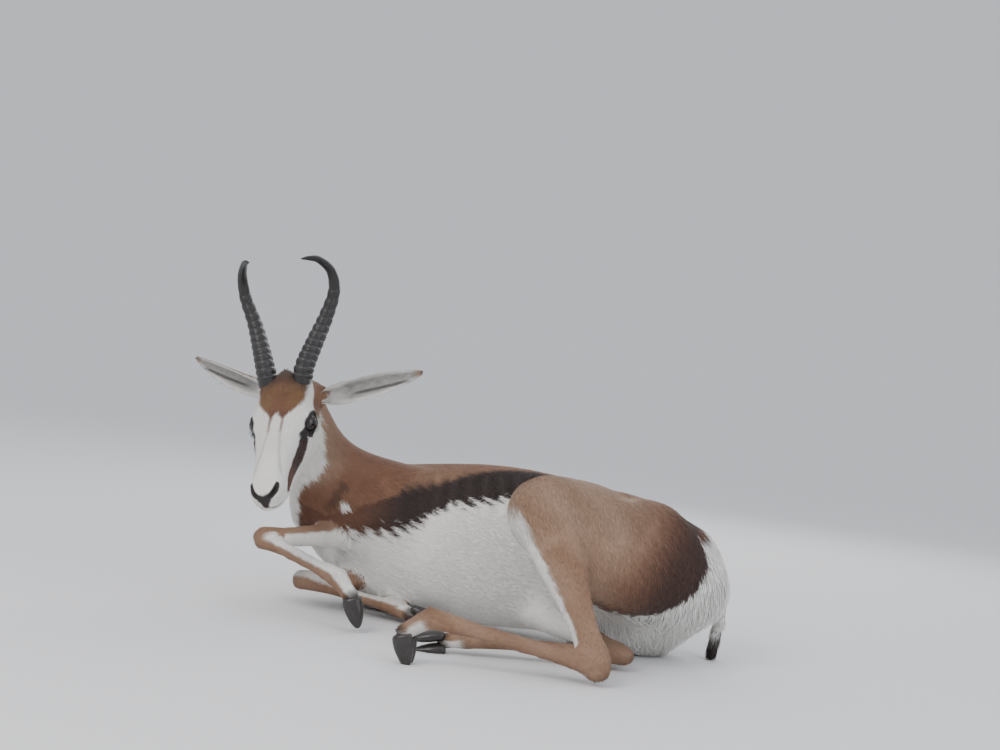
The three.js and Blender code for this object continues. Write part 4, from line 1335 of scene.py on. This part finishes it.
def make_eyes():
    """Dark wet eyes with a long level pupil and a clear bulge in front."""
    settings = {"Coat_Weight": 0.25, "Coat_Roughness": 0.04}
    material = surface("Eye", 0.12, scale=400, amount=0.10, grain=1500, bump=0.02, **settings)
    for name, side in (("eye_left", 1), ("eye_right", -1)):
        centre, long, tall, out = eye_frame(side)
        bpy.ops.object.select_all(action="DESELECT")
        bpy.ops.mesh.primitive_uv_sphere_add(segments=64, ring_count=48, radius=1.0, location=(0, 0, 0))
        obj = bpy.context.object
        obj.name = f"{name}_ball"
        ball = places(obj.data)
        # The clear front stands a little forward of the round ball
        reach = (EYE_RADIUS + 0.7 * step(0.62, 0.95, ball[:, 2])) * MM
        write(obj.data, centre + (ball @ np.array((long, tall, out))) * reach[:, None])
        iris = np.linalg.norm(ball[:, :2], axis=1)
        pupil = np.linalg.norm(ball[:, :2] / PUPIL_HALF, axis=1)
        tint = mix(mix(IRIS, IRIS_EDGE, step(0.45, 0.60, iris)), PUPIL, step(1.1, 0.9, pupil))
        colour_attribute(obj.data, tint)
        smooth_shaded(obj.data)
        finished(obj, material, "eye", name)
        make_lashes(name, side)


def make_lashes(name, side):
    """Dark lashes along the upper lid."""
    centre, long, tall, out = eye_frame(side)
    chance = np.random.default_rng(31 if side > 0 else 32)
    angle = np.linspace(0.25, math.pi - 0.2, LASHES) + 0.03 * chance.standard_normal(LASHES)
    flat = opening(angle) * 1.06
    reach = np.hypot(flat[:, 0], flat[:, 1])
    height = np.sqrt(np.maximum((18.2 * MM) ** 2 - reach**2, (6 * MM) ** 2))
    root = centre + flat[:, :1] * long + flat[:, 1:] * tall + height[:, None] * out
    normal = unit(root - centre)
    way = unit(normal * 0.75 + tall * 0.35 + long * (flat[:, :1] / (OPENING_HALF * MM)) * 0.5)
    rise = unit(tall - way * (way @ tall)[:, None])
    spots = Spots(root, rise, way, np.full((LASHES, 2), 0.5), None, None)
    length = 0.0062 * (0.8 + 0.4 * chance.random(LASHES))
    tint = np.tile(colour("naked"), (LASHES, 1))
    width, lift = np.full(LASHES, 0.0005), np.full(LASHES, -0.2)
    obj = tufts(f"{name}_lashes", spots, length, width, lift, 0 * angle, tint, LOCK_RINGS)
    finished(obj, coat_material(), "fawn_coat")


# Horns

HORN_ROOT = np.array((4.0, 28.5, 8.0))
HORN_LEAN = unit(np.array((-0.8, 0.02, 0.6)))
HORN_AHEAD = np.array((0.6, 0.0, 0.8))
# [out, forward, up] along the middle of the horn, from its core sunk in the skull
HORN_SUNK = np.array([(0, -20, -27), (0, -8.8, -15.5), (0, -3.2, -8.4)])
SUNK_RADIUS = (8.5, 13.2, 16.7)
HORN_LINE = np.array(
    [(0, 0, 0), (5, 1, 23), (17, -10, 62), (32, -22, 107), (47, -18, 150), (47, 2, 179)]
    + [(35, 32, 190), (24, 54, 187), (15, 69, 182)],
    float,
)
# [share of the length, radius], and the share that is ringed
HORN_RADIUS = [(0, 17.5), (0.1, 16.4), (0.25, 15), (0.4, 13.2), (0.55, 11.2), (0.7, 8.8), (0.85, 5.8)]
HORN_RADIUS += [(0.95, 3.2), (1, 1.0)]
RINGED = 0.68
RING_HEIGHT = 2.5
HORN_STATIONS = 300
HORN_SIDES = 40


def smooth_line(points, count):
    """A smooth curve through points, evenly spaced along its length."""
    padded = np.vstack([2 * points[0] - points[1], points, 2 * points[-1] - points[-2]])
    t = np.linspace(0, 1, 40, endpoint=False)[:, None]
    samples = []
    for p0, p1, p2, p3 in zip(padded, padded[1:], padded[2:], padded[3:]):
        square, cube = 2 * p0 - 5 * p1 + 4 * p2 - p3, 3 * p1 - p0 - 3 * p2 + p3
        samples.append(p1 + ((p2 - p0) * t + square * t**2 + cube * t**3) / 2)
    curve = np.vstack([*samples, points[-1:]])
    run = np.concatenate([[0], np.cumsum(np.linalg.norm(np.diff(curve, axis=0), axis=1))])
    even = np.linspace(0, run[-1], count)
    return np.column_stack([np.interp(even, run, curve[:, k]) for k in range(3)])


def horn_form(side):
    """A horn's points in the head's frame, with how far each lies along it and how high on a ring."""
    forward = unit(HORN_AHEAD - HORN_LEAN * (HORN_AHEAD @ HORN_LEAN))
    left = np.cross(HORN_LEAN, forward)
    out, on, up = np.vstack([HORN_SUNK, smooth_line(HORN_LINE, HORN_STATIONS)]).T
    local = np.column_stack([on, side * out, up])
    centres = HORN_ROOT * (1, side, 1) + local @ np.array((forward, left, HORN_LEAN))
    share = np.concatenate([np.zeros(len(HORN_SUNK)), np.linspace(0, 1, HORN_STATIONS)])
    tangent = unit(np.gradient(centres, axis=0))
    across = unit(left - tangent * (tangent @ left)[:, None])
    ahead = np.cross(across, tangent)
    radius = at(HORN_RADIUS, share)
    radius[: len(SUNK_RADIUS)] = SUNK_RADIUS
    # Rings stand closest at the root
    phase = sizes().horn_rings * (np.sqrt(1 + 3 * np.clip(share / RINGED, 0, 1)) - 1)
    fade = step(RINGED + 0.02, RINGED - 0.12, share) * (share > 0.001)
    points, crest = [], []
    for k, angle in enumerate(np.linspace(0, 2 * math.pi, HORN_SIDES, endpoint=False)):
        # They stand out most at the front and slant a little round the horn
        saw = (phase + 0.16 * math.cos(angle + 0.5 * side) + 0.03 * np.sin(7 * phase + k * 0.7)) % 1
        ring = step(0.0, 0.62, saw) * step(1.0, 0.78, saw)
        front = 0.72 + 0.28 * math.cos(angle)
        height = RING_HEIGHT * (1 - 0.75 * share) * ring * fade * front - 0.7 * fade
        groove = 0.12 * np.sin(9 * angle + 3 * share) + 0.10 * math.sin(17 * angle)
        reach = radius + height + groove * step(1, 0.6, share)
        offset = ahead * (1.07 * math.cos(angle)) + across * (0.93 * math.sin(angle))
        points.append(centres + offset * reach[:, None])
        crest.append(ring * fade)
    points = np.stack(points, axis=1).reshape(-1, 3)
    return points, np.repeat(share, HORN_SIDES), np.stack(crest, axis=1).ravel()


def make_horns():
    """Ringed horns that curve out, back and in at the smooth tips."""
    settings = {"depth": 0.0006, "Coat_Weight": 0.08}
    material = surface("Horn", 0.46, scale=70, amount=0.35, grain=260, bump=0.55, **settings)
    for name, side in (("horn_left", 1), ("horn_right", -1)):
        points, share, crest = horn_form(side)
        last = len(points) - HORN_SIDES
        faces = tube_faces(len(points) // HORN_SIDES, HORN_SIDES)
        faces += [tuple(range(HORN_SIDES))[::-1], tuple(range(last, len(points)))]
        obj = built(f"{name}_sheath", from_head(points), faces)
        outward(obj.data)
        tint = mix(colour("horn"), colour("horn") * 2.2 + 0.012, 0.55 * crest * step(0.75, 0.1, share))
        tint = mix(tint, colour("horn") * 0.45, step(0.6, 0.85, share))
        colour_attribute(obj.data, tint)
        smooth_shaded(obj.data)
        finished(obj, material, "horn", name)


# Hooves

GROWTH_LINES = 2.1  # radians of growth for each millimetre down the hoof


def make_hooves():
    """Claws with rounded walls, ringed by faint lines of growth."""
    material = surface("Hoof", 0.38, scale=160, amount=0.5, grain=500, bump=0.35, Coat_Weight=0.25)
    for leg, (_, _, _, coronet) in LEGS.items():
        for which in ("outer", "inner"):
            node = f"{leg}_claw_{which}"
            obj = copy_of(node, f"{node}_wall")
            modified(obj, "SUBSURF", levels=2, render_levels=2)
            points = places(obj.data)
            run = np.linalg.norm(points - from_body(coronet), axis=1) / MM
            line = np.sin(run * GROWTH_LINES)
            grown = (0.35 + 0.16 * line * step(48, 30, run)) * MM
            write(obj.data, lifted(points + normals_of(obj.data) * grown[:, None], 0))
            tint = mix(colour("hoof"), colour("hoof") * 2.6 + 0.01, 0.5 * step(14, 4, run) + 0.2 * line**2)
            colour_attribute(obj.data, tint)
            smooth_shaded(obj.data)
            finished(obj, material, "hoof", node)


# Floor, light and camera

CAMERA_PLACE = (0.0, -2450.0, 425.0)  # in the body's frame, in millimetres
CAMERA_RIGHT = (0.99254, 0.0, 0.12187)
CAMERA_LENS = 55.0
# [distance from the middle, height] of the pale ground, which rises into a wall behind
BACKDROP = [(5.5, 0), (6.5, 0.05), (7.5, 0.35), (8.3, 1.0), (8.8, 2.2), (9, 5.0)]
BACKDROP_SIDES = 96
# Each lamp's place, size, power and tint; all shine on the middle of the animal
LAMPS = {
    "key": ((-1.6, -2.2, 2.2), 1.6, 52, (1.0, 0.97, 0.94)),
    "fill": ((2.4, -1.8, 1.3), 2.2, 26, (0.92, 0.96, 1.0)),
    "back": ((0.8, 2.4, 1.9), 1.8, 26, (1.0, 0.98, 0.95)),
}
LIT_MIDDLE = Vector((0, 0, 0.2))


def make_floor():
    """The pale ground, as a wide shallow bowl."""
    angle = np.linspace(0, 2 * math.pi, BACKDROP_SIDES, endpoint=False)
    points = [(r * math.cos(a), r * math.sin(a), h) for r, h in BACKDROP for a in angle]
    faces = [face[::-1] for face in tube_faces(len(BACKDROP), BACKDROP_SIDES)]
    floor = built("floor", points, [tuple(range(BACKDROP_SIDES)), *faces])
    smooth_shaded(floor.data)
    material = bpy.data.materials.new("Floor")
    material.use_nodes = True
    shader = material.node_tree.nodes["Principled BSDF"]
    shader.inputs["Base Color"].default_value = (0.80, 0.80, 0.80, 1)
    shader.inputs["Roughness"].default_value = 0.9
    floor.data.materials.append(material)


def make_light():
    """Three soft lamps and an even pale sky."""
    for name, (place, size, power, tint) in LAMPS.items():
        light = bpy.data.lights.new(name, "AREA")
        light.size, light.energy, light.color = size, power, tint
        lamp = placed(name, light)
        lamp.location = place
        lamp.rotation_euler = (LIT_MIDDLE - Vector(place)).to_track_quat("-Z", "Y").to_euler()
    world = bpy.context.scene.world or bpy.data.worlds.new("World")
    bpy.context.scene.world = world
    world.use_nodes = True
    background = world.node_tree.nodes["Background"]
    background.inputs["Color"].default_value = (0.90, 0.93, 1.0, 1)
    background.inputs["Strength"].default_value = 0.95


def make_camera():
    """The camera, low in front of the animal and rolled a little, as in the photograph."""
    camera = bpy.data.cameras.new("camera")
    camera.lens = CAMERA_LENS
    camera.sensor_width = 36
    obj = placed("camera", camera)
    right, back = Vector(CAMERA_RIGHT), Vector((0, -1, 0))
    matrix = Matrix((right, back.cross(right), back)).transposed().to_4x4()
    matrix.translation = Vector(from_body(CAMERA_PLACE))
    obj.matrix_world = matrix
    bpy.context.scene.camera = obj


# Operators


class SPRINGBOK_OT_skin(bpy.types.Operator):
    """One skin over the head, neck, trunk, legs and tail, with lids and ears"""

    bl_idname = "springbok.skin"
    bl_label = "Skin"

    def execute(self, context):
        skin = make_skin()
        finished(skin, skin_material(), "fawn_coat", *FLESH)
        return {"FINISHED"}


class SPRINGBOK_OT_coat(bpy.types.Operator):
    """The short coat of tufts, the fringe of the rump and the tuft of the tail"""

    bl_idname = "springbok.coat"
    bl_label = "Coat"

    def execute(self, context):
        ground = Ground(bpy.data.objects["skin"])
        make_coat(ground)
        make_fringe(ground)
        make_tail_tuft(ground)
        return {"FINISHED"}


class SPRINGBOK_OT_eyes(bpy.types.Operator):
    """Both eyes, with their lashes"""

    bl_idname = "springbok.eyes"
    bl_label = "Eyes"

    def execute(self, context):
        make_eyes()
        return {"FINISHED"}


class SPRINGBOK_OT_horns(bpy.types.Operator):
    """Both ringed horns"""

    bl_idname = "springbok.horns"
    bl_label = "Horns"

    def execute(self, context):
        make_horns()
        return {"FINISHED"}


class SPRINGBOK_OT_hooves(bpy.types.Operator):
    """The two claws of each foot"""

    bl_idname = "springbok.hooves"
    bl_label = "Hooves"

    def execute(self, context):
        make_hooves()
        return {"FINISHED"}


class SPRINGBOK_OT_stage(bpy.types.Operator):
    """Pale floor, soft light and the camera"""

    bl_idname = "springbok.stage"
    bl_label = "Stage"

    def execute(self, context):
        make_floor()
        make_light()
        make_camera()
        return {"FINISHED"}


class SPRINGBOK_PT_panel(bpy.types.Panel):
    """Sizes, colours and pieces of the springbok"""

    bl_label = "Springbok"
    bl_idname = "SPRINGBOK_PT_panel"
    bl_space_type = "VIEW_3D"
    bl_region_type = "UI"
    bl_category = "Springbok"

    def draw(self, context):
        for group in (context.scene.springbok_sizes, context.scene.springbok_colours):
            for key in group.__annotations__:
                self.layout.prop(group, key)
        for operator in OPERATORS:
            self.layout.operator(operator.bl_idname)


OPERATORS = (
    SPRINGBOK_OT_skin,
    SPRINGBOK_OT_coat,
    SPRINGBOK_OT_eyes,
    SPRINGBOK_OT_horns,
    SPRINGBOK_OT_hooves,
    SPRINGBOK_OT_stage,
)
CLASSES = (SpringbokSizes, SpringbokColours, *OPERATORS, SPRINGBOK_PT_panel)


def register():
    for cls in CLASSES:
        bpy.utils.register_class(cls)
    bpy.types.Scene.springbok_sizes = PointerProperty(type=SpringbokSizes)
    bpy.types.Scene.springbok_colours = PointerProperty(type=SpringbokColours)


def unregister():
    del bpy.types.Scene.springbok_colours
    del bpy.types.Scene.springbok_sizes
    for cls in reversed(CLASSES):
        bpy.utils.unregister_class(cls)


def main():
    register()
    bpy.ops.springbok.skin()
    bpy.ops.springbok.eyes()
    bpy.ops.springbok.horns()
    bpy.ops.springbok.hooves()
    bpy.ops.springbok.coat()
    bpy.ops.springbok.stage()


if __name__ == "__main__":
    main()
